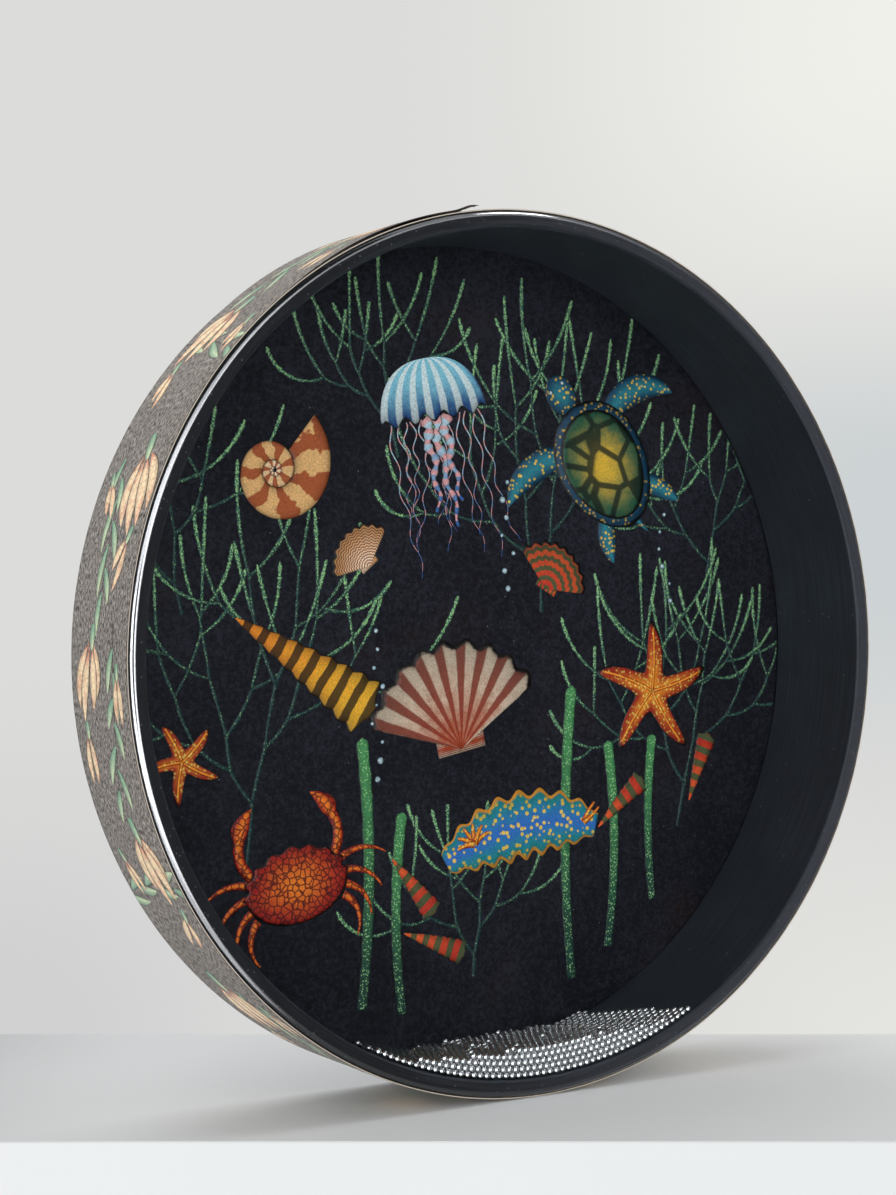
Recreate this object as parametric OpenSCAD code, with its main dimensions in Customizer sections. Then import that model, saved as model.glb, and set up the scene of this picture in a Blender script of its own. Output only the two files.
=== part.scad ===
// Ocean drum: a shallow two-headed frame drum with a clear front head, a printed back head and a
// charge of loose steel beads sealed between them. It stands on its rim, as when it is put on a shelf.
// The origin is on the floor under the middle of the drum. +Z is up, and the clear head faces -Y.

/* [Drum] */
// Outside diameter of the drum, over the printed wrap
drum_d = 406.4; // [300:0.1:560]
// Depth of the drum, from the face of one head to the face of the other
drum_depth = 63.5; // [45:0.1:90]

/* [Hoop] */
// Thickness of the wall of the fibre hoop
hoop_wall = 7.6; // [4.5:0.1:9]
// Radius of the outer edge of the hoop, which the heads are drawn over
edge_round = 2.6; // [1:0.1:3.2]
// Width of the bevel on the inner edge of the hoop
edge_bevel = 1.1; // [0.4:0.1:1.2]

/* [Heads] */
// Thickness of the film of each head
film_t = 0.25; // [0.15:0.01:0.5]
// How far each film runs down the outside of the hoop, from the face of the head
skirt_depth = 9; // [5:0.1:16]
// Thickness of the adhesive between each film and the hoop
bond_t = 0.15; // [0.1:0.01:0.3]

/* [Wrap] */
// Thickness of the printed wrap where it lies on the films
wrap_t = 0.7; // [0.4:0.05:1.5]
// Distance from the face of each head to the edge of the wrap
wrap_inset = 1.6; // [0.6:0.1:3]
// Length of the overlap where the second end of the wrap lies on the first
lap_length = 16; // [8:0.5:40]
// Place of the overlap's free end, in degrees from the top towards the left
lap_turn = 10; // [0:0.5:60]

/* [Beads] */
// Diameter of a steel bead
bead_d = 3.175; // [2.8:0.025:4.5]
// Clearance between neighbouring beads
bead_gap = 0.1; // [0.08:0.01:0.3]
// Clearance between the beads and the wall and heads round them
charge_gap = 0.3; // [0.25:0.01:0.6]
// Thickness of the heap of beads at its thickest, against the front head
heap_front = 16.1; // [7:0.1:24]
// Thickness of the heap of beads at its thickest, against the back head
heap_back = 9.4; // [7:0.1:24]
// Reach of the heap round the hoop to each side of its middle, at the front, in degrees
spread_front = 26.9; // [12:0.5:45]
// Reach of the heap round the hoop to each side of its middle, at the back, in degrees
spread_back = 19.3; // [12:0.5:45]
// Turn of the middle of the heap from the lowest point towards the right, in degrees
heap_turn = 0.5; // [-10:0.1:10]
// Place of the thickest part of the heap, in degrees from its middle towards the right
heap_lean = 3.6; // [-10:0.1:10]
// Height of the gentle waves on the surface of the heap
heap_wave = 0.7; // [0:0.1:2]
// How much higher or lower single beads lie on the surface of the heap
heap_grain = 0.8; // [0:0.1:1.3]

/* [Hidden] */
$fn = 96;
bead_sides = 16;

// Overrun of a cut past the face that it opens
cut = 1;
quarter_turn = 90;
half_turn = 180;

// Colours, as the real materials look
fibre_black = "#202327";
clear_film = [0.86, 0.9, 0.92, 0.28];
printed_film = "#1a1b24";
bond_amber = "#8d8672";
wrap_grey = "#7a756c";
bead_steel = "#c3c6ca";

// Radii of the layers of the rim, from the outside in
wrap_r = drum_d / 2;
collar_r = wrap_r - wrap_t;
bond_r = collar_r - film_t;
hoop_r = bond_r - bond_t;
hoop_bore_r = hoop_r - hoop_wall;

// Half depths of the layers, from the middle of the drum towards a head
drum_half = drum_depth / 2;
film_back = drum_half - film_t;
hoop_half = film_back - bond_t;
skirt_end = drum_half - skirt_depth;
wrap_half = drum_half - wrap_inset;

// The overlap of the wrap: the outer end lies one thickness proud and eases back to the wrap's own
// radius along an arc of smaller radius, whose centre lies on the line from the axis to the free end
lap_angle = lap_length / wrap_r * half_turn / PI;
lap_half_square = pow(lap_length / wrap_r, 2) / 2;
lap_top_r = wrap_r + wrap_t;
lap_centre_r = wrap_t * lap_top_r / (lap_half_square * lap_top_r + wrap_t);
lap_arc_r = lap_top_r - lap_centre_r;
// How far the easing arc dips below the wrap's surface before it is cut off, as a share of its turn
lap_dip_share = 1.15;

// The beads lie in lanes, flat layers one bead thick that are square to the drum's axis, so each lane
// can roll round the hoop past its neighbours. In a lane they lie in rows that follow the hoop's wall,
// each row nested in the hollows of the one under it. All rows share one angular pitch, which is set
// by the uppermost row, where the beads lie closest.
bead_r = bead_d / 2;
bead_step = bead_d + bead_gap;
chamber_depth = 2 * film_back - 2 * charge_gap;
lane_count = floor((chamber_depth + bead_gap) / bead_step);
lane_pitch = (chamber_depth + bead_gap) / lane_count;
heap_max = max(heap_front, heap_back) + heap_wave + heap_grain;
row_rise = bead_step * sin(60);
row_count = max(1, floor((heap_max - bead_d - charge_gap) / row_rise) + 1);
wall_row_r = hoop_bore_r - charge_gap - bead_r;
top_row_r = wall_row_r - (row_count - 1) * row_rise;
bead_turn = 2 * asin(bead_step / 2 / top_row_r);
// The sides of the heap fall away by this power of the distance from its thickest part
heap_power = 2;
// Waves and grain on the heap: degrees of phase per degree round the hoop, and per lane
wave_round = 13;
wave_lane = 47;
grain_round = 131;
grain_lane = 83;

function lane_name(lane) = str("bead_lane_", lane < 10 ? "0" : "", lane);
function lane_share(lane) = (lane - 1) / max(1, lane_count - 1);
function between(front, back, lane) = front + (back - front) * lane_share(lane);

// Thickness of the heap over the wall, at an angle from its middle
function heap_at(angle, lane) =
    let (side = angle < heap_lean ? heap_lean : -heap_lean)
    let (reach = abs(angle - heap_lean) / (between(spread_front, spread_back, lane) + side))
    let (wave = heap_wave * sin(wave_round * angle + wave_lane * lane))
    let (grain = heap_grain * sin(grain_round * angle + grain_lane * lane))
    reach > 1 ? 0
    : between(heap_front, heap_back, lane) * (1 - pow(reach, heap_power)) + (wave + grain) * (1 - reach);

// A row's bead is there if the heap reaches over it. The lowest row runs on to the ends of the heap.
function bead_lies(row, angle, lane) =
    row == 0 ? heap_at(angle, lane) > 0
    : row * row_rise + bead_d + charge_gap <= heap_at(angle, lane);

// Turns a shape made round Z, with Z towards the player, so that it stands on its rim
module stand_on_rim() {
    translate([0, 0, wrap_r])
        rotate([quarter_turn, 0, 0])
            children();
}

// The hoop's edge in section: a rounded outer corner, a flat land and a bevelled inner corner
module hoop_half_section() {
    difference() {
        union() {
            translate([hoop_bore_r, 0])
                square([hoop_wall, hoop_half - edge_round]);
            translate([hoop_bore_r, 0])
                square([hoop_wall - edge_round, hoop_half]);
            translate([hoop_r - edge_round, hoop_half - edge_round])
                circle(r = edge_round);
        }
        polygon([
            [hoop_bore_r - cut, hoop_half - edge_bevel - cut],
            [hoop_bore_r - cut, hoop_half + cut],
            [hoop_bore_r + edge_bevel + cut, hoop_half + cut]
        ]);
    }
}

module shell_hoop() {
    color(fibre_black)
        stand_on_rim()
            rotate_extrude()
                union() {
                    hoop_half_section();
                    mirror([0, 1])
                        hoop_half_section();
                }
}

// A layer that lies on the land, turns over the rounded edge and runs down the outside of the hoop.
// rise is how far its inner face is from the hoop, and inner_r is where it begins on the land.
module rim_layer_section(inner_r, rise, thickness) {
    corner_r = hoop_r - edge_round;
    corner_z = hoop_half - edge_round;
    union() {
        translate([inner_r, hoop_half + rise])
            square([corner_r - inner_r, thickness]);
        intersection() {
            translate([corner_r, corner_z])
                difference() {
                    circle(r = edge_round + rise + thickness);
                    circle(r = edge_round + rise);
                }
            translate([corner_r, corner_z])
                square(edge_round + rise + thickness + cut);
        }
        translate([hoop_r + rise, skirt_end])
            square([thickness, corner_z - skirt_end]);
    }
}

module head(side) {
    stand_on_rim()
        rotate([half_turn * side, 0, 0])
            rotate_extrude()
                rim_layer_section(0, bond_t, film_t);
}

module front_head() {
    color(clear_film)
        head(0);
}

module back_head() {
    color(printed_film)
        head(1);
}

module bond_line(side) {
    color(bond_amber)
        stand_on_rim()
            rotate([half_turn * side, 0, 0])
                rotate_extrude()
                    rim_layer_section(hoop_bore_r + edge_bevel, 0, bond_t);
}

module front_bond_line() {
    bond_line(0);
}

module back_bond_line() {
    bond_line(1);
}

// The wrap in section: it lies on both skirts and fills the space between them down to the hoop.
// It is drawn past both of its edges, where one cut trims it together with its overlap.
module wrap_section() {
    union() {
        translate([collar_r, -wrap_half - cut])
            square([wrap_t, 2 * (wrap_half + cut)]);
        translate([hoop_r, -skirt_end])
            square([wrap_r - hoop_r, 2 * skirt_end]);
    }
}

// The second end of the wrap, lying on the first
module wrap_lap() {
    inner_r = wrap_r - wrap_t / 2;
    outer_r = wrap_r + wrap_t + cut;
    rotate([0, 0, quarter_turn + lap_turn])
        intersection() {
            translate([lap_centre_r, 0, 0])
                cylinder(r = lap_arc_r, h = 2 * (wrap_half + cut), center = true);
            rotate_extrude(angle = lap_angle * lap_dip_share)
                translate([inner_r, -wrap_half - 2 * cut])
                    square([outer_r - inner_r, 2 * (wrap_half + 2 * cut)]);
        }
}

module outer_wrap() {
    color(wrap_grey)
        stand_on_rim()
            intersection() {
                union() {
                    rotate_extrude()
                        wrap_section();
                    wrap_lap();
                }
                cylinder(r = wrap_r + wrap_t + cut, h = 2 * wrap_half, center = true);
            }
}

// One lane of beads. The phase of the rows changes by half a pitch from row to row and lane to lane.
module bead_lane(lane) {
    reach = ceil(max(spread_front, spread_back) / bead_turn) + 1;
    depth = chamber_depth / 2 - bead_r - (lane - 1) * lane_pitch;
    color(bead_steel)
        stand_on_rim()
            rotate([0, 0, heap_turn - quarter_turn])
                for (row = [0 : row_count - 1])
                    for (place = [-reach : reach]) {
                        angle = (place + ((row + lane) % 2) / 2) * bead_turn;
                        if (bead_lies(row, angle, lane))
                            rotate([0, 0, angle])
                                translate([wall_row_r - row * row_rise, 0, depth])
                                    sphere(d = bead_d, $fn = bead_sides);
                    }
}

shell_hoop();
front_head();
back_head();
front_bond_line();
back_bond_line();
outer_wrap();
for (lane = [1 : lane_count])
    bead_lane(lane);
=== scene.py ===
"""The looks of the ocean drum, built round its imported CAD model.

Everything is in metres in the CAD model's frame: the origin is on the floor under the middle of the
drum, +Z is up and the clear head faces -Y. The drum stands on its rim, so its axis runs along Y at the
height of its radius. A place on the rim is given by its radius, its angle round the axis (0 at +X, 90
degrees at the top) and its depth, which is its Y.
"""

from __future__ import annotations

import logging
import math
from dataclasses import dataclass, field, replace
from enum import Enum
from typing import Any, Sequence

import bmesh
import bpy
import numpy as np
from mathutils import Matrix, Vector

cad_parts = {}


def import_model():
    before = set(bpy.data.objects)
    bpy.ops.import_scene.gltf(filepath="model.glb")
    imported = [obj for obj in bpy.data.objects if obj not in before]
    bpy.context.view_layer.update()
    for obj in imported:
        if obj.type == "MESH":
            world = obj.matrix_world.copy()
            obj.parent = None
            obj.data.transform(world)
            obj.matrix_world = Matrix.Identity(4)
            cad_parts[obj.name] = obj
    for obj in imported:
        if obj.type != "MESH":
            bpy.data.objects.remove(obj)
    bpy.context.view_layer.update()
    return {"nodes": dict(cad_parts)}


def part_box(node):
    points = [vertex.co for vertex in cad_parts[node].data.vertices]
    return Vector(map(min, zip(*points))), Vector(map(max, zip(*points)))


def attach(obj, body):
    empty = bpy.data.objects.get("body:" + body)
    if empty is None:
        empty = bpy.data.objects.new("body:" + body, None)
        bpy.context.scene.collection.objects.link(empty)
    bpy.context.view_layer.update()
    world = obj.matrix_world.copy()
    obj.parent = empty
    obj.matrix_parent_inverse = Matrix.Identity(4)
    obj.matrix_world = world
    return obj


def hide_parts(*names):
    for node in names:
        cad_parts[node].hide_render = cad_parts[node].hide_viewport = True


LOG = logging.getLogger("ocean_drum")

MM = 0.001
TURN = 2 * math.pi
# The drawings on the wrap stand this far out, so its paper lies this far in
WRAP_SKIN = 0.12 * MM
Array = np.ndarray
Colour = tuple[float, float, float, float]


# Colours and materials


def paint(code: str) -> Colour:
    """Turns a screen colour into the light values that a shader takes.

    A channel c becomes ((c + 0.055) / 1.055) to the power 2.4, or c / 12.92 near black.

    Args:
        code: The colour as # and six hexadecimal digits.

    Returns:
        Red, green, blue and an alpha of 1.
    """
    channel = np.array([int(code[i : i + 2], 16) for i in (1, 3, 5)]) / 255
    light = np.where(channel > 0.04045, ((channel + 0.055) / 1.055) ** 2.4, channel / 12.92)
    return (*light.tolist(), 1.0)


class Term:
    """A number inside a material: a node's output that takes plain arithmetic."""

    def __init__(self, graph: Graph, socket: bpy.types.NodeSocket) -> None:
        """Wraps an output socket of a graph."""
        self.graph = graph
        self.socket = socket

    def __add__(self, other: Number) -> Term:
        """Sum."""
        return self.graph.maths("ADD", self, other)

    __radd__ = __add__

    def __sub__(self, other: Number) -> Term:
        """Difference."""
        return self.graph.maths("SUBTRACT", self, other)

    def __rsub__(self, other: Number) -> Term:
        """Difference from a plain number."""
        return self.graph.maths("SUBTRACT", other, self)

    def __mul__(self, other: Number) -> Term:
        """Product."""
        return self.graph.maths("MULTIPLY", self, other)

    __rmul__ = __mul__

    def __truediv__(self, other: Number) -> Term:
        """Quotient."""
        return self.graph.maths("DIVIDE", self, other)

    def __rtruediv__(self, other: Number) -> Term:
        """Quotient of a plain number."""
        return self.graph.maths("DIVIDE", other, self)

    def __pow__(self, other: Number) -> Term:
        """Power."""
        return self.graph.maths("POWER", self, other)

    def __gt__(self, other: Number) -> Term:
        """1 where this is the larger."""
        return self.graph.maths("GREATER_THAN", self, other)

    def __lt__(self, other: Number) -> Term:
        """1 where this is the smaller."""
        return self.graph.maths("LESS_THAN", self, other)

    def wave(self) -> Term:
        """The sine, brought to between 0 and 1."""
        return self.graph.maths("SINE", self) * 0.5 + 0.5

    def size(self) -> Term:
        """The absolute value."""
        return self.graph.maths("ABSOLUTE", self)

    def most(self, other: Number) -> Term:
        """The larger of the two."""
        return self.graph.maths("MAXIMUM", self, other)

    def between(self, low: Number, high: Number) -> Term:
        """0 at low and 1 at high, with a smooth step from one to the other."""
        made = self.graph.node(
            "MapRange",
            {"interpolation_type": "SMOOTHSTEP"},
            {"Value": self, "From Min": low, "From Max": high},
        )
        return self.graph.term(made, "Result")


Number = float | Term
Socket = Number | bpy.types.NodeSocket | Sequence[float]


class Graph:
    """A node tree that is written as expressions."""

    def __init__(self, tree: bpy.types.NodeTree) -> None:
        """Clears a node tree and starts to write in it."""
        self.tree = tree
        tree.nodes.clear()

    def node(
        self, kind: str, settings: dict[str, Any] | None = None, sockets: dict | None = None
    ) -> bpy.types.Node:
        """Makes any node.

        Args:
            kind: The node's type, without the words Shader and Node.
            settings: The node's own settings, which are set first.
            sockets: The values or links of its input sockets, by name or place.

        Returns:
            The node.
        """
        made = self.tree.nodes.new("ShaderNode" + kind)
        for name, value in (settings or {}).items():
            setattr(made, name, value)
        for name, value in (sockets or {}).items():
            self.feed(made.inputs[name], value)
        return made

    def feed(self, socket: bpy.types.NodeSocket, value: Socket) -> None:
        """Gives an input socket a link or a plain value."""
        source = value.socket if isinstance(value, Term) else value
        if isinstance(source, bpy.types.NodeSocket):
            self.tree.links.new(source, socket)
        else:
            socket.default_value = source

    def term(self, made: bpy.types.Node, output: str | int = 0) -> Term:
        """Wraps a node's output as a number."""
        return Term(self, made.outputs[output])

    def maths(self, operation: str, *values: Number) -> Term:
        """Makes a Math node of some numbers."""
        made = self.node("Math", {"operation": operation}, dict(enumerate(values)))
        return self.term(made)

    def place(self) -> bpy.types.NodeSocket:
        """The point's place in the object, in metres."""
        return self.node("TexCoord").outputs["Object"]

    def part(self, vector: Socket, axis: str) -> Term:
        """One of a vector's three numbers, by the name of its axis."""
        return self.term(self.node("SeparateXYZ", None, {0: vector}), axis)

    def towards(self, vector: Socket, direction: Sequence[float]) -> Term:
        """How far a vector reaches along a direction, which is their dot product."""
        made = self.node("VectorMath", {"operation": "DOT_PRODUCT"}, {0: vector, 1: direction})
        return self.term(made, "Value")

    def round_axis(self, axis_height: float) -> tuple[bpy.types.NodeSocket, Term, Term]:
        """The direction from the drum's axis, the distance from it and the place along X."""
        place = self.place()
        side, height = self.part(place, "X"), self.part(place, "Z") - axis_height
        reach = (side**2 + height**2) ** 0.5
        way = self.node("CombineXYZ", None, {0: side / reach, 1: height / reach})
        return way.outputs[0], reach, side

    def drawn(self, name: str) -> tuple[bpy.types.NodeSocket, Term, Term]:
        """One of the piece's UV maps, whole and as its two numbers."""
        vector = self.node("UVMap", {"uv_map": name}).outputs["UV"]
        return vector, self.part(vector, "X"), self.part(vector, "Y")

    def stretched(self, vector: Socket, scale: Sequence[float]) -> bpy.types.NodeSocket:
        """A vector multiplied part by part."""
        made = self.node("VectorMath", {"operation": "MULTIPLY"}, {0: vector, 1: scale})
        return made.outputs[0]

    def noise(self, vector: Socket, scale: float, detail: float = 3.0, rough: float = 0.5) -> Term:
        """Cloudy noise, mostly between 0.3 and 0.7."""
        made = self.node(
            "TexNoise",
            None,
            {"Vector": vector, "Scale": scale, "Detail": detail, "Roughness": rough},
        )
        return self.term(made, "Fac")

    def cells(self, vector: Socket, scale: float, feature: str = "F1") -> Term:
        """Distance to the middle of the nearest cell, or to the nearest wall between cells."""
        made = self.node("TexVoronoi", {"feature": feature}, {"Vector": vector, "Scale": scale})
        return self.term(made, "Distance")

    def lottery(self, vector: Socket, scale: float) -> Term:
        """One number from 0 to 1 for each cell, out of its random colour."""
        made = self.node("TexVoronoi", None, {"Vector": vector, "Scale": scale})
        parts = self.node("SeparateColor", None, {0: made.outputs["Color"]})
        return self.term(parts, 0)

    def mix(
        self, share: Number, first: Socket, second: Socket, mode: str = "MIX"
    ) -> bpy.types.NodeSocket:
        """Mixes two colours: the first where the share is 0 and the second where it is 1."""
        made = self.node("Mix", {"data_type": "RGBA", "blend_type": mode})
        for place, value in ((0, share), (6, first), (7, second)):
            self.feed(made.inputs[place], value)
        return made.outputs[2]

    def shaded(self, colour: Socket, level: Term) -> bpy.types.NodeSocket:
        """A colour made darker or lighter by a number."""
        grey = self.node("CombineXYZ", None, {0: level, 1: level, 2: level})
        return self.mix(1.0, colour, grey.outputs[0], "MULTIPLY")

    def bump(self, height: Term, distance: float) -> bpy.types.NodeSocket:
        """A normal bent by a height."""
        made = self.node("Bump", None, {"Strength": 1.0, "Distance": distance, "Height": height})
        return made.outputs["Normal"]

    def spots(self, vector: Socket, scale: float, reach: float, rare: float) -> Term:
        """Round spots: 1 within a reach of a cell's middle, in the cells whose lot is over a number."""
        return (self.cells(vector, scale) < reach) * (self.lottery(vector, scale) > rare)

    def surface(self, sockets: dict[str, Socket]) -> bpy.types.NodeSocket:
        """A surface of one shader, with the values or links of its inputs by name."""
        return self.node("BsdfPrincipled", None, sockets).outputs[0]


class Finish:
    """A material that is made once and worn by any number of pieces."""

    name: str

    def write(self, graph: Graph) -> bpy.types.NodeSocket:
        """Writes the nodes of the material.

        Args:
            graph: The material's empty node tree.

        Returns:
            The shader that goes to the output.
        """
        raise NotImplementedError

    def material(self) -> bpy.types.Material:
        """Makes the material, or finds it if it is made already."""
        title = f"{self.name}_finish"
        found = bpy.data.materials.get(title)
        if found:
            return found
        made = bpy.data.materials.new(title)
        made.use_nodes = True
        graph = Graph(made.node_tree)
        graph.node("OutputMaterial", None, {"Surface": self.write(graph)})
        return made

    def dress(self, piece: bpy.types.Object) -> None:
        """Puts the material on a piece."""
        slots = piece.data.materials
        if len(slots) == 0:
            slots.append(self.material())
        for place in range(len(slots)):
            slots[place] = self.material()


@dataclass(frozen=True)
class BlackFibre(Finish):
    """Painted fibre: near black, faintly streaked round the hoop, with a few pale specks of dust."""

    name: str = "black_fibre"
    ground: str = "#2b2f36"
    streak: str = "#3b424b"
    speck: str = "#b9b8b2"

    def write(self, graph: Graph) -> bpy.types.NodeSocket:
        """Writes the streaks, the specks and the fine tooth of the paint."""
        vector, _, _ = graph.drawn("pattern")
        streaks = graph.noise(graph.stretched(vector, (14, 900, 1)), 1.0, 5, 0.6)
        cloud = graph.noise(graph.place(), 34, 4, 0.6)
        colour = graph.mix(
            (streaks * 0.8 + cloud * 0.3).between(0.45, 0.72), paint(self.ground), paint(self.streak)
        )
        dust = graph.spots(graph.place(), 330, 0.085, 0.95)
        tooth = graph.noise(graph.place(), 2600, 2, 0.6)
        return graph.surface(
            {
                "Base Color": graph.mix(dust, colour, paint(self.speck)),
                "Roughness": 0.46 + streaks * 0.16,
                "Specular IOR Level": 0.42,
                "Normal": graph.bump(streaks * 0.5 + tooth * 0.5, 0.00006),
            }
        )


@dataclass(frozen=True)
class ClearFilm(Finish):
    """Clear film: it shows what is behind it, mirrors more at a slant, and holds dust and smears."""

    name: str = "clear_film"
    straight_on: float = 0.05
    faint: str = "#626264"
    silver: str = "#f7f7fa"
    stretched_share: float = 0.2
    stretched: tuple[float, float] = (199.6 * MM, 201.6 * MM)
    fades: tuple[float, float] = (0.6 * MM, 0.3 * MM)
    axis_height: float = 203.2 * MM

    def write(self, graph: Graph) -> bpy.types.NodeSocket:
        """Writes the share of light that is mirrored: straight_on, plus the rest times slant to the 5th.

        Straight on the film mirrors faintly. Where it is stretched over the edge of the hoop it turns
        silvery and mirrors more, up to the dark line along the wrap.
        """
        place = graph.place()
        _, reach, _ = graph.round_axis(self.axis_height)
        (start, end), (rise, fall) = self.stretched, self.fades
        edge = reach.between(start, start + rise) * reach.between(end + fall, end)
        slant = graph.term(graph.node("LayerWeight", None, {"Blend": 0.5}), "Facing")
        mirror = self.straight_on + (1 - self.straight_on) * slant**5
        smear = graph.noise(graph.stretched(place, (9, 1, 26)), 1.0, 5, 0.65).between(0.5, 0.8)
        dust = graph.spots(place, 210, 0.045, 0.93) * 0.25
        speck = graph.spots(place, 44, 0.024, 0.95)
        bright = edge.most(slant**3).most(dust * 4).most(speck)
        shader = graph.node(
            "BsdfPrincipled",
            None,
            {
                "Base Color": graph.mix(bright, paint(self.faint), paint(self.silver)),
                "Metallic": 1 - (dust * 4).most(speck),
                "Roughness": 0.02 + smear * 0.05 + (dust * 2.4).most(speck * 0.6),
            },
        )
        share = mirror + smear * 0.004 + dust + speck * 0.9 + edge * self.stretched_share
        through = graph.node("BsdfTransparent", None, {"Color": (0.985, 0.99, 0.99, 1.0)})
        mixed = graph.node(
            "MixShader", None, {0: share, 1: through.outputs[0], 2: shader.outputs[0]}
        )
        return mixed.outputs[0]


@dataclass(frozen=True)
class PrintGround(Finish):
    """The printed film's ground: inky blue-black, mottled like drawing paper, under a clear gloss."""

    name: str = "print_ground"
    ink: str = "#15161d"
    # A lighter, mottled tone of the print itself
    mottle_and_edge_shade: str = "#2f303a"
    warm: str = "#241b1b"
    fleck: str = "#7d8492"

    def write(self, graph: Graph) -> bpy.types.NodeSocket:
        """Writes large clouds, a paper grain and small pale flecks."""
        place = graph.place()
        clouds = graph.noise(place, 9, 4, 0.6)
        grain = graph.noise(place, 520, 4, 0.8)
        patches = graph.noise(place, 16, 2).between(0.52, 0.72)
        tinted = graph.mix(patches, paint(self.ink), paint(self.warm))
        colour = graph.mix((clouds * 0.3 + grain * 0.8).between(0.45, 0.68), tinted, paint(self.mottle_and_edge_shade))
        flecks = graph.spots(place, 480, 0.1, 0.972)
        return graph.surface(
            {
                "Base Color": graph.mix(flecks * 0.5, colour, paint(self.fleck)),
                "Roughness": 0.42 + grain * 0.2,
                "Specular IOR Level": 0.12,
                "Coat Weight": 0.15,
                "Coat Roughness": 0.03,
                "Coat IOR": 1.5,
            }
        )


@dataclass(frozen=True)
class Adhesive(Finish):
    """Dark adhesive on black fibre: fine rings from the brush, and painted light that makes it lighter to
    the right.
    """

    name: str = "adhesive"
    clear: str = "#191b1f"
    # Lighter colour of the brush rings, and of the painted light on the right side
    streaked_and_lit: str = "#474951"
    bubble: str = "#85878c"
    axis_height: float = 203.2 * MM

    def write(self, graph: Graph) -> bpy.types.NodeSocket:
        """Writes the painted light to the right, the rings and small trapped bubbles."""
        way, reach, side = graph.round_axis(self.axis_height)
        rings = graph.node("VectorMath", {"operation": "ADD"}, {0: graph.stretched(way, (5, 5, 5))})
        graph.feed(rings.inputs[1], graph.node("CombineXYZ", None, {2: reach * 1100}).outputs[0])
        streaks = graph.noise(rings.outputs[0], 1.0, 3, 0.6)
        place = graph.place()
        bubbles = graph.cells(place, 700).between(0.34, 0.2) * (graph.lottery(place, 700) > 0.93)
        # Painted light: the colour turns lighter towards +X, mixed with the brush rings
        streaks_and_painted_light = side.between(-0.16, 0.16) * 0.8 + streaks * 0.9 - 0.4
        colour = graph.mix(streaks_and_painted_light.between(0.0, 1.0), paint(self.clear), paint(self.streaked_and_lit))
        return graph.surface(
            {
                "Base Color": graph.mix(bubbles * 0.5, colour, paint(self.bubble)),
                "Roughness": 0.34 + streaks * 0.2,
                "Specular IOR Level": 0.3,
            }
        )


@dataclass(frozen=True)
class WrapPaper(Finish):
    """The wrap's printed ground: grey-brown pencil strokes, with a pale core at the cut edges and a
    painted shadow just inside them.
    """

    name: str = "wrap_paper"
    ground: str = "#b6ada5"
    grain: str = "#3d3835"
    line: str = "#3a3531"
    core: str = "#eee0cf"
    # Painted shadow: the dark band just inside the cut edges
    mottle_and_edge_shade: str = "#2a2622"
    half_width: float = 30.15 * MM
    core_reach: tuple[float, float] = (0.1 * MM, -0.05 * MM)
    # Where the painted shadow inside the edges begins and where it is full
    edge_shadow_reach: tuple[float, float] = (0.7 * MM, 0.2 * MM)

    def write(self, graph: Graph) -> bpy.types.NodeSocket:
        """Writes a fine grain, pencil lines round the drum, and the painted shadow along the edges with
        their pale core.
        """
        vector, along, across = graph.drawn("pattern")
        weave = graph.noise(graph.stretched(vector, (430, 1500, 1)), 1.0, 2, 0.75)
        short = graph.noise(graph.stretched(vector, (170, 2600, 1)), 1.0, 2, 0.6)
        bent = across + (graph.noise(graph.stretched(vector, (7, 10, 1)), 1.0, 3) - 0.5) * 0.024
        lines = graph.node("CombineXYZ", None, {0: along * 16, 1: bent * 520}).outputs[0]
        long_lines = graph.noise(lines, 1.0, 3, 0.55)
        tone = graph.noise(graph.place(), 26, 3)
        grain = (weave * 0.78 + short * 0.22).between(0.42, 0.6)
        colour = graph.mix(grain, paint(self.grain), paint(self.ground))
        drawn = long_lines.between(0.36, 0.28) * 0.6
        colour = graph.mix(drawn, colour, paint(self.line))
        colour = graph.shaded(colour, 0.84 + tone * 0.32)
        edge = across.size()
        _, end, _ = graph.drawn("tone")
        # The painted shadow along the edges, then the pale core at the cut
        mottle_and_edge_shade, cut = (
            edge.between(self.half_width - start, self.half_width - full)
            for start, full in (self.edge_shadow_reach, self.core_reach)
        )
        colour = graph.mix(mottle_and_edge_shade, colour, paint(self.mottle_and_edge_shade))
        colour = graph.mix(cut.most(end), colour, paint(self.core))
        return graph.surface(
            {
                "Base Color": colour,
                "Roughness": 0.62 + short * 0.2,
                "Specular IOR Level": 0.35,
                "Normal": graph.bump(short * 0.5 + weave * 0.5, 0.00012),
            }
        )


@dataclass(frozen=True)
class BeadSteel(Finish):
    """Polished steel with the haze of beads that have rolled on each other."""

    name: str = "bead_steel"
    bright: str = "#f3f4f5"
    scuffed: str = "#d3d5d8"

    def write(self, graph: Graph) -> bpy.types.NodeSocket:
        """Writes bright steel whose gloss is scuffed in small patches."""
        scuffs = graph.noise(graph.place(), 1400, 3, 0.6)
        return graph.surface(
            {
                "Base Color": graph.mix(
                    scuffs.between(0.35, 0.7), paint(self.bright), paint(self.scuffed)
                ),
                "Metallic": 1.0,
                "Roughness": 0.03 + scuffs.between(0.5, 0.8) * 0.08,
            }
        )


class Marks(Enum):
    """How an ink is marked."""

    BANDS = "bands square to the shape's length"
    RIBS = "ribs along the shape"
    CELLS = "cells like scutes or scales"
    DOTS = "round dots"
    SPECKLE = "speckles, thicker towards the tip"


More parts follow.
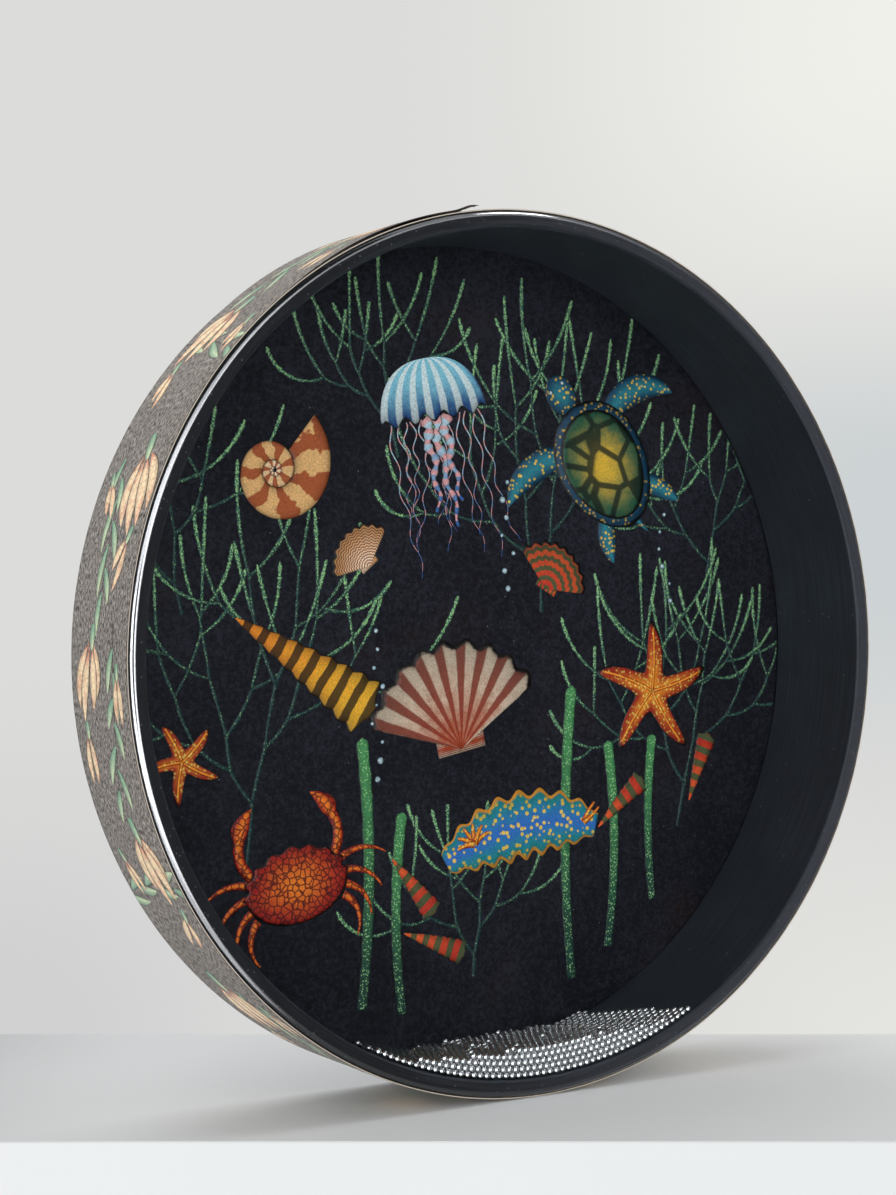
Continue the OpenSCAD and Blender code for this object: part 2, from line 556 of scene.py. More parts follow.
@dataclass(frozen=True)
class Ink(Finish):
    """A printed drawing: two ground colours, marks, a dark outline and the grain of pencil.

    The ground goes from deep to light along the shape, or outwards from its middle.
    """

    name: str
    deep: str
    light: str
    mark: str
    marks: Marks
    count: float
    outline: str = "#14110f"
    outline_share: float = 0.12
    outwards: bool = False
    strength: float = 0.9
    wobble: float = 0.6
    fade: tuple[float, float] = (0.1, 0.9)
    scales: float = 760.0

    def _marks(self, graph: Graph, along: Term, across: Term) -> Term:
        """Where the marks are, as a number from 0 to 1."""
        place = graph.place()
        shake = (graph.noise(place, 120, 3) - 0.5) * (self.wobble * TURN)
        if self.marks is Marks.BANDS:
            return (along * (self.count * TURN) + shake).wave().between(0.45, 0.6)
        if self.marks is Marks.RIBS:
            return (across * (self.count * TURN) + shake * 0.4).wave().between(0.4, 0.7)
        if self.marks is Marks.CELLS:
            return graph.cells(place, self.count, "DISTANCE_TO_EDGE").between(0.13, 0.06)
        if self.marks is Marks.DOTS:
            return graph.cells(place, self.count).between(0.36, 0.28)
        speckle = graph.noise(place, self.count, 2, 0.7)
        return speckle.between(0.66 - along * 0.2, 0.7 - along * 0.2)

    def write(self, graph: Graph) -> bpy.types.NodeSocket:
        """Writes the ground, the marks, the pencil's grain, fine scales, the shading and the outline."""
        _, along, across = graph.drawn("pattern")
        _, tone, rim = graph.drawn("tone")
        place = graph.place()
        cloud = graph.noise(place, 210, 3, 0.6)
        fade = (rim if self.outwards else along) * 0.8 + cloud * 0.5 - 0.15
        colour = graph.mix(fade.between(*self.fade), paint(self.deep), paint(self.light))
        colour = graph.mix(self._marks(graph, along, across) * self.strength, colour, paint(self.mark))
        hatch = graph.noise(graph.stretched(place, (2600, 600, 900)), 1.0, 2, 0.7)
        scales = graph.cells(place, self.scales, "DISTANCE_TO_EDGE").between(0.02, 0.16)
        level = (0.72 + tone * 0.42) * (0.62 + hatch * 0.76)
        level = level * (1.24 - rim**2 * 0.74) * (0.78 + scales * 0.24)
        colour = graph.shaded(colour, level)
        edge = rim + (cloud - 0.5) * 0.12
        line = edge.between(1 - self.outline_share, 1 - self.outline_share * 0.4)
        colour = graph.mix(line, colour, paint(self.outline))
        return graph.surface(
            {
                "Base Color": colour,
                "Roughness": 0.4 + hatch * 0.2,
                "Specular IOR Level": 0.3,
                "Coat Weight": 0.15,
                "Coat Roughness": 0.04,
            }
        )


@dataclass(frozen=True)
class ShelfPaint(Finish):
    """The shelf that the drum stands on: pale grey, with painted shade that darkens its left end, and
    whiter on its front.
    """

    name: str = "shelf_paint"
    top: str = "#dadbdb"
    # Painted shade: the darker colour that the top turns to at the shelf's left end
    deep: str = "#aaabab"
    front: str = "#eff0f0"
    along: tuple[float, float, float] = (0.85, -0.526, 0.0)
    painted_shade_span: tuple[float, float] = (-0.14, -0.36)
    edge: tuple[float, float] = (-0.2 * MM, -1.2 * MM)

    def write(self, graph: Graph) -> bpy.types.NodeSocket:
        """Writes the top, with painted shade by the place along the shelf, and the front by height, a
        little cloudy.
        """
        place = graph.place()
        height = graph.part(place, "Z")
        cloud = graph.noise(place, 6, 3)
        # Painted shade: the top darkens towards the shelf's left end
        left = graph.towards(place, self.along).between(*self.painted_shade_span)
        top = graph.mix(left, paint(self.top), paint(self.deep))
        colour = graph.mix(height.between(*self.edge), top, paint(self.front))
        return graph.surface(
            {
                "Base Color": graph.shaded(colour, 0.97 + cloud * 0.06),
                "Roughness": 0.55,
                "Specular IOR Level": 0.25,
            }
        )


# Surfaces


def rim_points(radius: Array, angle: Array, depth: Array, axis_height: float) -> Array:
    """Points round the drum's axis.

    x is the radius times the cosine of the angle, y is the depth, and z is the height of the axis plus
    the radius times the sine of the angle.

    Args:
        radius: Distances from the axis.
        angle: Angles in radians, 0 at +X and a quarter turn at the top.
        depth: Places along Y.
        axis_height: Height of the axis over the floor.

    Returns:
        The points, with their three coordinates last.
    """
    radius, angle, depth = np.broadcast_arrays(radius, angle, depth)
    return np.stack([radius * np.cos(angle), depth, axis_height + radius * np.sin(angle)], axis=-1)


def arc(centre: tuple[float, float], radius: float, start: float, end: float, steps: int) -> Array:
    """Points on a circle, from one angle to another, both in degrees."""
    angle = np.radians(np.linspace(start, end, steps + 1))
    return np.stack([centre[0] + radius * np.cos(angle), centre[1] + radius * np.sin(angle)], axis=-1)


def arc_lengths(path: Array) -> Array:
    """Distance travelled along a path, from its start to each of its points."""
    steps = np.linalg.norm(np.diff(path, axis=-2), axis=-1)
    return np.concatenate([np.zeros_like(steps[..., :1]), np.cumsum(steps, axis=-1)], axis=-1)


class Surfaces:
    """Grids of points that become one mesh.

    A grid holds points in rows and columns. Its face between two rows and two columns looks along the
    cross product of the step to the next row and the step to the next column.
    """

    def __init__(self, name: str) -> None:
        """Starts an empty piece with a name."""
        self.name = name
        self.points: list[Array] = []
        self.quads: list[Array] = []
        self.maps: dict[str, list[Array]] = {"pattern": [], "tone": []}
        self.count = 0

    def add(self, points: Array, pattern: Array, tone: Array | None = None, flip: bool = False) -> None:
        """Adds grids.

        Args:
            points: Points of one grid or several, as (..., rows, columns, 3).
            pattern: The same grids' UV map for patterns, as (..., rows, columns, 2).
            tone: The same grids' second UV map, or None where it isn't used.
            flip: Turns the faces to look the other way.
        """
        rows, columns = points.shape[-3:-1]
        grids = points.reshape(-1, rows * columns, 3)
        corner = (np.arange(rows - 1)[:, None] * columns + np.arange(columns - 1)).reshape(-1, 1)
        square = corner + np.array([0, columns, columns + 1, 1])
        if flip:
            square = square[:, ::-1]
        start = np.arange(len(grids))[:, None, None] * (rows * columns)
        quads = (square[None] + start).reshape(-1, 4)
        for name, values in (("pattern", pattern), ("tone", pattern if tone is None else tone)):
            flat = np.broadcast_to(values, (*points.shape[:-1], 2)).reshape(-1, 2)
            self.maps[name].append(flat[quads.ravel()])
        self.points.append(grids.reshape(-1, 3))
        self.quads.append(quads + self.count)
        self.count += grids.shape[0] * rows * columns

    def build(self, sharp: float = 180.0, weld: float = 1e-6) -> bpy.types.Object:
        """Makes the piece, with its seams and poles closed.

        Args:
            sharp: Edges are shaded as corners from this angle between their faces, in degrees.
            weld: Points closer than this become one.

        Returns:
            The object, at the origin.
        """
        mesh = bpy.data.meshes.new(self.name)
        points, quads = np.concatenate(self.points), np.concatenate(self.quads)
        mesh.vertices.add(len(points))
        mesh.vertices.foreach_set("co", points.ravel())
        mesh.loops.add(quads.size)
        mesh.loops.foreach_set("vertex_index", quads.ravel())
        mesh.polygons.add(len(quads))
        mesh.polygons.foreach_set("loop_start", np.arange(0, quads.size, 4))
        mesh.update(calc_edges=True)
        for name, values in self.maps.items():
            layer = mesh.uv_layers.new(name=name)
            layer.data.foreach_set("uv", np.concatenate(values).ravel())
        merged = bmesh.new()
        merged.from_mesh(mesh)
        bmesh.ops.remove_doubles(merged, verts=merged.verts, dist=weld)
        bmesh.ops.dissolve_degenerate(merged, dist=weld, edges=merged.edges)
        merged.to_mesh(mesh)
        merged.free()
        mesh.shade_smooth()
        if sharp < 180:
            mesh.set_sharp_from_angle(angle=math.radians(sharp))
        piece = bpy.data.objects.new(self.name, mesh)
        bpy.context.scene.collection.objects.link(piece)
        return piece


def finished(
    piece: bpy.types.Object, finish: Finish, body: str, stands_for: Sequence[str] = ()
) -> bpy.types.Object:
    """Dresses a piece, puts it on its body and hides the CAD nodes that it stands for.

    Args:
        piece: The piece, in place.
        finish: Its material.
        body: The CAD body that it rides on.
        stands_for: The CAD nodes that it replaces.

    Returns:
        The same piece.
    """
    finish.dress(piece)
    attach(piece, body)
    if stands_for:
        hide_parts(*stands_for)
    LOG.info("%s: %d faces on %s", piece.name, len(piece.data.polygons), body)
    return piece


# The rim and the heads


@dataclass(frozen=True)
class DrumSizes:
    """Sizes of the drum, as in its CAD source.

    The last two aren't in it: the wrap's second sheet is fixed over the CAD overlap, and beyond that it
    lies loose on the first, which only shows in the looks.
    """

    wrap_r: float = 203.2 * MM
    half_depth: float = 31.75 * MM
    wall: float = 7.6 * MM
    edge_round: float = 2.6 * MM
    bevel: float = 1.1 * MM
    film: float = 0.25 * MM
    skirt: float = 9.0 * MM
    bond: float = 0.15 * MM
    wrap: float = 0.7 * MM
    wrap_inset: float = 1.6 * MM
    lap_turn: float = 10.0
    loose_length: float = 104.0 * MM
    loose_bulge: float = 1.15 * MM

    def proud(self, run: Array) -> Array:
        """How far the wrap's second sheet stands out at a distance from its free end.

        It is one thickness of the wrap times the square of the share of the sheet that is left, plus a
        bulge, because the sheet lies loose, which is a sine over its length.
        """
        left = np.clip(1 - run / self.loose_length, 0, 1)
        bulge = self.loose_bulge * np.sin(math.pi * left) ** 0.8
        return np.where(run < 0, 0, self.wrap * left**2 + bulge)

    @property
    def collar_r(self) -> float:
        """Radius of the outside of the films' skirts."""
        return self.wrap_r - self.wrap

    @property
    def hoop_r(self) -> float:
        """Outer radius of the hoop."""
        return self.collar_r - self.film - self.bond

    @property
    def bore_r(self) -> float:
        """Inner radius of the hoop."""
        return self.hoop_r - self.wall

    @property
    def film_back(self) -> float:
        """Distance from the drum's middle to the inner face of a film."""
        return self.half_depth - self.film

    @property
    def hoop_half(self) -> float:
        """Half the depth of the hoop."""
        return self.film_back - self.bond

    @property
    def skirt_end(self) -> float:
        """Distance from the drum's middle to the end of a film's skirt."""
        return self.half_depth - self.skirt

    @property
    def wrap_half(self) -> float:
        """Half the width of the wrap."""
        return self.half_depth - self.wrap_inset


@dataclass
class Shell:
    """The hoop, its two heads and the adhesive that holds them."""

    sizes: DrumSizes = field(default_factory=DrumSizes)
    segments: int = 360
    corner_angle: float = 38.0
    face_rings: tuple[float, ...] = (0.0, 60.0, 120.0, 170.0, 194.0)
    film_clearance: float = 0.03 * MM

    def _turned(self, name: str, profile: Array) -> bpy.types.Object:
        """Carries a profile round the drum's axis.

        A point of the profile, at a radius and a depth, goes to every angle of a full turn.

        Args:
            name: The piece's name.
            profile: Radius and depth of each point, in an order that runs towards -Y on its outer side.

        Returns:
            The piece.
        """
        angle = np.linspace(0, TURN, self.segments + 1)[:, None]
        points = rim_points(profile[:, 0], angle, profile[:, 1], self.sizes.wrap_r)
        travel = arc_lengths(profile)
        around, across = np.broadcast_arrays(angle * self.sizes.wrap_r, travel)
        surfaces = Surfaces(name)
        surfaces.add(points, np.stack([around, across], axis=-1))
        return surfaces.build(self.corner_angle)

    def hoop(self) -> bpy.types.Object:
        """Makes the hoop: outer corners rounded, lands flat, inner corners bevelled with soft edges."""
        s = self.sizes
        corner = (s.hoop_r - s.edge_round, s.hoop_half - s.edge_round)
        soft = 0.25 * MM
        half = np.concatenate(
            [
                [[s.bore_r, 0.0], [s.bore_r, s.hoop_half - s.bevel - 3 * soft]],
                [[s.bore_r, s.hoop_half - s.bevel - soft]],
                [[s.bore_r + 0.3 * soft, s.hoop_half - s.bevel + 0.3 * soft]],
                [[s.bore_r + s.bevel - 0.3 * soft, s.hoop_half - 0.3 * soft]],
                [[s.bore_r + s.bevel + soft, s.hoop_half]],
                [[corner[0] - soft, s.hoop_half]],
                arc(corner, s.edge_round, 90, 0, 10),
                [[s.hoop_r, corner[1] - soft], [s.hoop_r, 0.0]],
            ]
        )
        other = half[::-1] * [1, -1]
        profile = np.concatenate([half, other[1:]])
        piece = self._turned("fibre_hoop", profile)
        return finished(piece, BlackFibre(), "drum", ["shell_hoop"])

    def _head_profile(self, side: float) -> Array:
        """Radius and depth of a head's outline, from the axis out over the edge and back inside.

        The inner faces stand a hair clear of the adhesive, so that the two never share a surface.
        """
        s = self.sizes
        corner = (s.hoop_r - s.edge_round, s.hoop_half - s.edge_round)
        clear = self.film_clearance
        inner, outer = s.edge_round + s.bond + clear, s.edge_round + s.bond + s.film
        rings = np.array(self.face_rings) * MM
        face = np.stack([rings, np.full(len(rings), s.half_depth)], axis=-1)
        back = np.stack([rings[::-1], np.full(len(rings), s.film_back + clear)], axis=-1)
        near = 0.15 * MM
        outline = np.concatenate(
            [
                face,
                [[corner[0] - near, s.half_depth]],
                arc(corner, outer, 90, 0, 14),
                [[s.collar_r, corner[1] - near], [s.collar_r, s.skirt_end]],
                [[corner[0] + inner, s.skirt_end], [corner[0] + inner, corner[1] - near]],
                arc(corner, inner, 0, 90, 14),
                [[corner[0] - near, s.film_back + clear]],
                back,
            ]
        )
        return outline * [1, side]

    def heads(self) -> None:
        """Makes the clear head in front and the printed head behind."""
        front = self._turned("clear_head", self._head_profile(-1.0)[::-1])
        finished(front, ClearFilm(), "drum", ["front_head"])
        back = self._turned("printed_head", self._head_profile(1.0))
        finished(back, PrintGround(), "drum", ["back_head"])

    def bonds(self, nodes: dict[str, bpy.types.Object]) -> None:
        """Dresses the two bond lines, whose CAD shape is right."""
        for name in ("front_bond_line", "back_bond_line"):
            Adhesive().dress(nodes[name])

    def build(self, nodes: dict[str, bpy.types.Object]) -> None:
        """Makes every piece of the shell."""
        self.hoop()
        self.heads()
        self.bonds(nodes)


# Beads


@dataclass
class BeadCharge:
    """The loose steel beads, lane by lane, where the CAD source puts them."""

    sizes: DrumSizes = field(default_factory=DrumSizes)
    bead_d: float = 3.175 * MM
    bead_gap: float = 0.1 * MM
    charge_gap: float = 0.3 * MM
    heap: tuple[float, float] = (16.1 * MM, 9.4 * MM)
    spread: tuple[float, float] = (26.9, 19.3)
    heap_turn: float = 0.5
    heap_lean: float = 3.6
    heap_wave: float = 0.7 * MM
    heap_grain: float = 0.8 * MM
    heap_power: float = 2.0
    wave_phase: tuple[float, float] = (13.0, 47.0)
    grain_phase: tuple[float, float] = (131.0, 83.0)
    sides: int = 10
    rings: int = 6
    seed: int = 31
    largest_error: float = 0.2 * MM

    def _lattice(self) -> tuple[int, float, int, float, float, float]:
        """Lanes, their pitch, rows, their rise, the lowest row's radius and the angle between beads."""
        step = self.bead_d + self.bead_gap
        depth = 2 * (self.sizes.film_back - self.charge_gap)
        lanes = math.floor((depth + self.bead_gap) / step)
        rise = step * math.sin(math.radians(60))
        top = max(self.heap) + self.heap_wave + self.heap_grain
        rows = max(1, math.floor((top - self.bead_d - self.charge_gap) / rise) + 1)
        wall_r = self.sizes.bore_r - self.charge_gap - self.bead_d / 2
        turn = 2 * math.degrees(math.asin(step / 2 / (wall_r - (rows - 1) * rise)))
        return lanes, (depth + self.bead_gap) / lanes, rows, rise, wall_r, turn

    def centres(self, lane: int) -> Array:
        """Middles of the beads of a lane.

        The heap is thickest at heap_lean from its middle. Its thickness is its height times one less the
        share of the way to its end to the power heap_power, with a wave and a grain that fade on the way.
        A row's bead is there if the heap reaches over it, and the lowest row runs on to the heap's ends.

        Args:
            lane: The lane's number, from 1 at the clear head.

        Returns:
            The middles as (beads, 3).
        """
        lanes, pitch, rows, rise, wall_r, turn = self._lattice()
        share = (lane - 1) / (lanes - 1)
        height = self.heap[0] + (self.heap[1] - self.heap[0]) * share
        spread = self.spread[0] + (self.spread[1] - self.spread[0]) * share
        reach = math.ceil(max(self.spread) / turn) + 1
        row, place = np.meshgrid(np.arange(rows), np.arange(-reach, reach + 1), indexing="ij")
        angle = (place + ((row + lane) % 2) / 2) * turn
        side = np.where(angle < self.heap_lean, self.heap_lean, -self.heap_lean)
        part = np.abs(angle - self.heap_lean) / (spread + side)
        inside = np.clip(part, 0, 1)
        wave, grain = (
            rise_by * np.sin(np.radians(phase[0] * angle + phase[1] * lane))
            for rise_by, phase in ((self.heap_wave, self.wave_phase), (self.heap_grain, self.grain_phase))
        )
        over = height * (1 - inside**self.heap_power) + (wave + grain) * (1 - inside)
        over = np.where(part > 1, 0, over)
        needed = row * rise + self.bead_d + self.charge_gap
        lies = np.where(row == 0, over > 0, needed <= over)
        depth = -(self.sizes.film_back - self.charge_gap - self.bead_d / 2 - (lane - 1) * pitch)
        around = np.radians(angle + self.heap_turn - 90)
        points = rim_points(wall_r - row * rise, around, depth, self.sizes.wrap_r)
        return points[lies]

    def lane(self, lane: int, rng: np.random.Generator) -> bpy.types.Object:
        """Makes the beads of a lane, each turned its own way.

        A bead is a sphere by two angles: the cosine of one times the direction of the other, and the
        first one's sine.

        Args:
            lane: The lane's number.
            rng: Source of the beads' turns.

        Returns:
            The piece.
        """
        centres = self.centres(lane)
        rise = np.linspace(-math.pi / 2, math.pi / 2, self.rings + 1)
        turn = np.linspace(0, TURN, self.sides + 1)[:, None]
        level = np.cos(rise)
        height = np.broadcast_to(np.sin(rise), (self.sides + 1, self.rings + 1))
        ball = np.stack([level * np.cos(turn), level * np.sin(turn), height], axis=-1)
        spin, _ = np.linalg.qr(rng.normal(size=(len(centres), 3, 3)))
        spin *= np.sign(np.linalg.det(spin))[:, None, None]
        points = np.einsum("kab,uvb->kuva", spin, ball * (self.bead_d / 2)) + centres[:, None, None]
        surfaces = Surfaces(f"beads_lane_{lane:02d}")
        surfaces.add(points, np.zeros((1, 1, 2)))
        return surfaces.build()

    def build(self) -> None:
        """Makes every lane on its own body, and checks it against the CAD lane's box."""
        lanes = self._lattice()[0]
        rng = np.random.default_rng(self.seed)
        for lane in range(1, lanes + 1):
            node = f"bead_lane_{lane:02d}"
            piece = self.lane(lane, rng)
            low, high = (np.array(corner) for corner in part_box(node))
            centres = self.centres(lane)
            off = max(
                np.abs(centres.min(0) - self.bead_d / 2 - low).max(),
                np.abs(centres.max(0) + self.bead_d / 2 - high).max(),
            )
            if off > self.largest_error:
                LOG.warning("%s is %.2f mm away from the CAD lane", node, off / MM)
            finished(piece, BeadSteel(), f"beads_{lane:02d}", [node])


# Drawing in the plane of a print


@dataclass
class Drawing:
    """Flat shapes of one ink, as grids of points in the plane of a print, in metres.

    Points are (shapes, rows, columns, 2). The other numbers are given for each point: how far it is
    along and across its shape, how near the shape's outline (1 is on it), and the shape's own tone.
    """

    ink: Ink
    points: Array
    along: Array
    across: Array
    rim: Array
    tone: float = 0.8
    layer: int = 0

    def moved(self, at: tuple[float, float], turn: float = 0.0) -> Drawing:
        """A copy that is turned and moved.

        Args:
            at: Where the drawing's origin goes, in millimetres.
            turn: Turn in degrees, counterclockwise as seen from the front.

        Returns:
            The copy.
        """
        angle = math.radians(turn)
        spin = np.array([[math.cos(angle), math.sin(angle)], [-math.sin(angle), math.cos(angle)]])
        return replace(self, points=self.points @ spin + np.array(at) * MM)


def strips(
    ink: Ink,
    path: Array,
    half_width: Array,
    columns: int = 3,
    tone: float = 0.8,
    layer: int = 0,
    part: tuple[float, float] = (0.0, 1.0),
) -> Drawing:
    """Bands along paths.

    A point is the path's point plus its sideways direction times the half width there times a number
    that goes from -1 to 1 across the band.

    Args:
        ink: The ink.
        path: Points of each path, as (shapes, points, 2), in millimetres.
        half_width: Half widths at those points, or a shape that broadcasts to them.
        columns: Points across a band.
        tone: Lightness.
        layer: Drawings of a higher layer lie over lower ones.
        part: How far along the motif the bands begin and end.

    Returns:
        The bands.
    """
    slope = np.gradient(path, axis=1)
    side = np.stack([-slope[..., 1], slope[..., 0]], axis=-1)
    side = side / np.maximum(np.linalg.norm(side, axis=-1, keepdims=True), 1e-9)
    width = np.broadcast_to(half_width, path.shape[:2])
    share = np.linspace(-1, 1, columns)
    points = path[:, :, None] + side[:, :, None] * (width[:, :, None] * share)[..., None]
    along = np.broadcast_to(np.linspace(*part, path.shape[1])[None, :, None], points.shape[:3])
    across = np.broadcast_to(share * 0.5 + 0.5, points.shape[:3])
    rim = np.broadcast_to(np.abs(share), points.shape[:3])
    return Drawing(ink, points * MM, along, across, rim, tone, layer)


def patch(
    ink: Ink,
    outline: Array,
    centre: tuple[float, float] = (0.0, 0.0),
    rings: int = 7,
    tone: float = 0.8,
    layer: int = 0,
) -> Drawing:
    """A shape filled from its middle: the centre plus a share from 0 to 1 of the way to the outline.

    Args:
        ink: The ink.
        outline: Points of the closed outline, counterclockwise, in millimetres.
        centre: A point that sees the whole outline.
        rings: Steps from the middle to the outline.
        tone: Lightness.
        layer: Drawings of a higher layer lie over lower ones.

    Returns:
        The shape.
    """
    share = np.linspace(0, 1, rings + 1)
    middle = np.array(centre)
    points = middle + (outline[None, :, None] - middle) * share[:, None]
    along = np.broadcast_to(np.linspace(0, 1, outline.shape[0])[None, :, None], points.shape[:3])
    rim = np.broadcast_to(share, points.shape[:3])
    return Drawing(ink, points * MM, along, rim, rim, tone, layer)


def curved_paths(start: Array, heading: Array, length: Array, bend: Array, steps: int = 14) -> Array:
    """Paths that turn evenly.

    The heading at a share t of the length is the first heading plus t times the bend, and each point is
    the one before plus a step along the heading.

    Args:
        start: First points, as (shapes, 2).
        heading: First headings in degrees, 90 is up.
        length: Lengths.
        bend: Whole turns from start to end, in degrees.
        steps: Steps along a path.

    Returns:
        The paths as (shapes, steps + 1, 2).
    """
    share = np.linspace(0, 1, steps)
    angle = np.radians(heading[:, None] + bend[:, None] * share)
    step = np.stack([np.cos(angle), np.sin(angle)], axis=-1) * (length[:, None, None] / steps)
    path = np.cumsum(step, axis=1)
    return np.concatenate([start[:, None], start[:, None] + path], axis=1)


def lone_path(
    start: tuple[float, float], heading: float, length: float, bend: float, steps: int
) -> Array:
    """One path that turns evenly, with numbers as for curved_paths."""
    heading, length, bend = (np.array([value]) for value in (heading, length, bend))
    return curved_paths(np.array([start]), heading, length, bend, steps)


FROND = Ink(
    "ink_frond", "#1f3f40", "#33685a", "#a4d690", Marks.SPECKLE, 1150.0,
    outline="#182b2f", outline_share=0.5, fade=(0.3, 1.0),
)
BLADE = Ink(
    "ink_blade", "#1d433b", "#4a9359", "#a9dc98", Marks.DOTS, 860.0,
    outline="#16352f", outline_share=0.2,
)
FAN = Ink(
    "ink_fan_shell", "#a8451d", "#f2dcc2", "#8f2f1b", Marks.RIBS, 9.0,
    wobble=0.25, outwards=True, outline_share=0.07,
)
STAR = Ink(
    "ink_star", "#f29a2b", "#c02c1b", "#f7d568", Marks.DOTS, 520.0,
    outwards=True, outline_share=0.08,
)
CHAMBER = Ink(
    "ink_chamber_shell", "#f3e2c6", "#e9b778", "#a3431c", Marks.BANDS, 15.0,
    wobble=0.9, outline_share=0.08,
)
BELL = Ink(
    "ink_bell", "#86cbe0", "#1c4f93", "#dff0f2", Marks.RIBS, 7.0,
    wobble=0.3, outwards=True, outline_share=0.06,
)
THREAD = Ink(
    "ink_thread", "#b9d8e6", "#3565a8", "#e7a2a0", Marks.BANDS, 9.0,
    outline_share=0.2,
)
SCUTE = Ink(
    "ink_scute", "#e0b53a", "#2c6e52", "#12261f", Marks.CELLS, 62.0,
    outwards=True, outline_share=0.07,
)
SKIN = Ink(
    "ink_skin", "#2b7f8e", "#1b4c6c", "#f0c94d", Marks.DOTS, 420.0,
    outwards=True, outline_share=0.05,
)
TURRET = Ink(
    "ink_turret_shell", "#f0b431", "#e88a25", "#1d1710", Marks.BANDS, 9.0,
    wobble=0.25, outline_share=0.1,
)
SHIELD = Ink(
    "ink_shield", "#f08124", "#c9271d", "#5c1414", Marks.CELLS, 330.0,
    outwards=True, outline_share=0.06,
)
FRILL = Ink(
    "ink_frill", "#2f6fc0", "#1d9c9a", "#f4cf45", Marks.DOTS, 300.0,
    outwards=True, outline="#e79b2e", outline_share=0.16,
)
STRIPED = Ink(
    "ink_striped_shell", "#c33424", "#e8622f", "#2f5b3a", Marks.BANDS, 5.0,
    wobble=0.2, outline_share=0.1,
)
PEARL = Ink(
    "ink_pearl", "#cfe2e8", "#6d9fb8", "#ffffff", Marks.DOTS, 900.0,
    outwards=True, outline_share=0.3,
)
PETAL = Ink(
    "ink_petal", "#bf5743", "#eccfa8", "#c9604a", Marks.SPECKLE, 240.0,
    "#4a332b", 0.2, strength=0.35, fade=(0.12, 0.42), scales=300.0,
)
LEAF = Ink(
    "ink_leaf", "#7fa78a", "#cbd6ae", "#5f8a6f", Marks.RIBS, 1.0,
    "#34493d", 0.22, strength=0.4,
)
TENDRIL = Ink(
    "ink_tendril", "#4a3b33", "#5d5a4a", "#2d2622", Marks.SPECKLE, 1500.0,
)


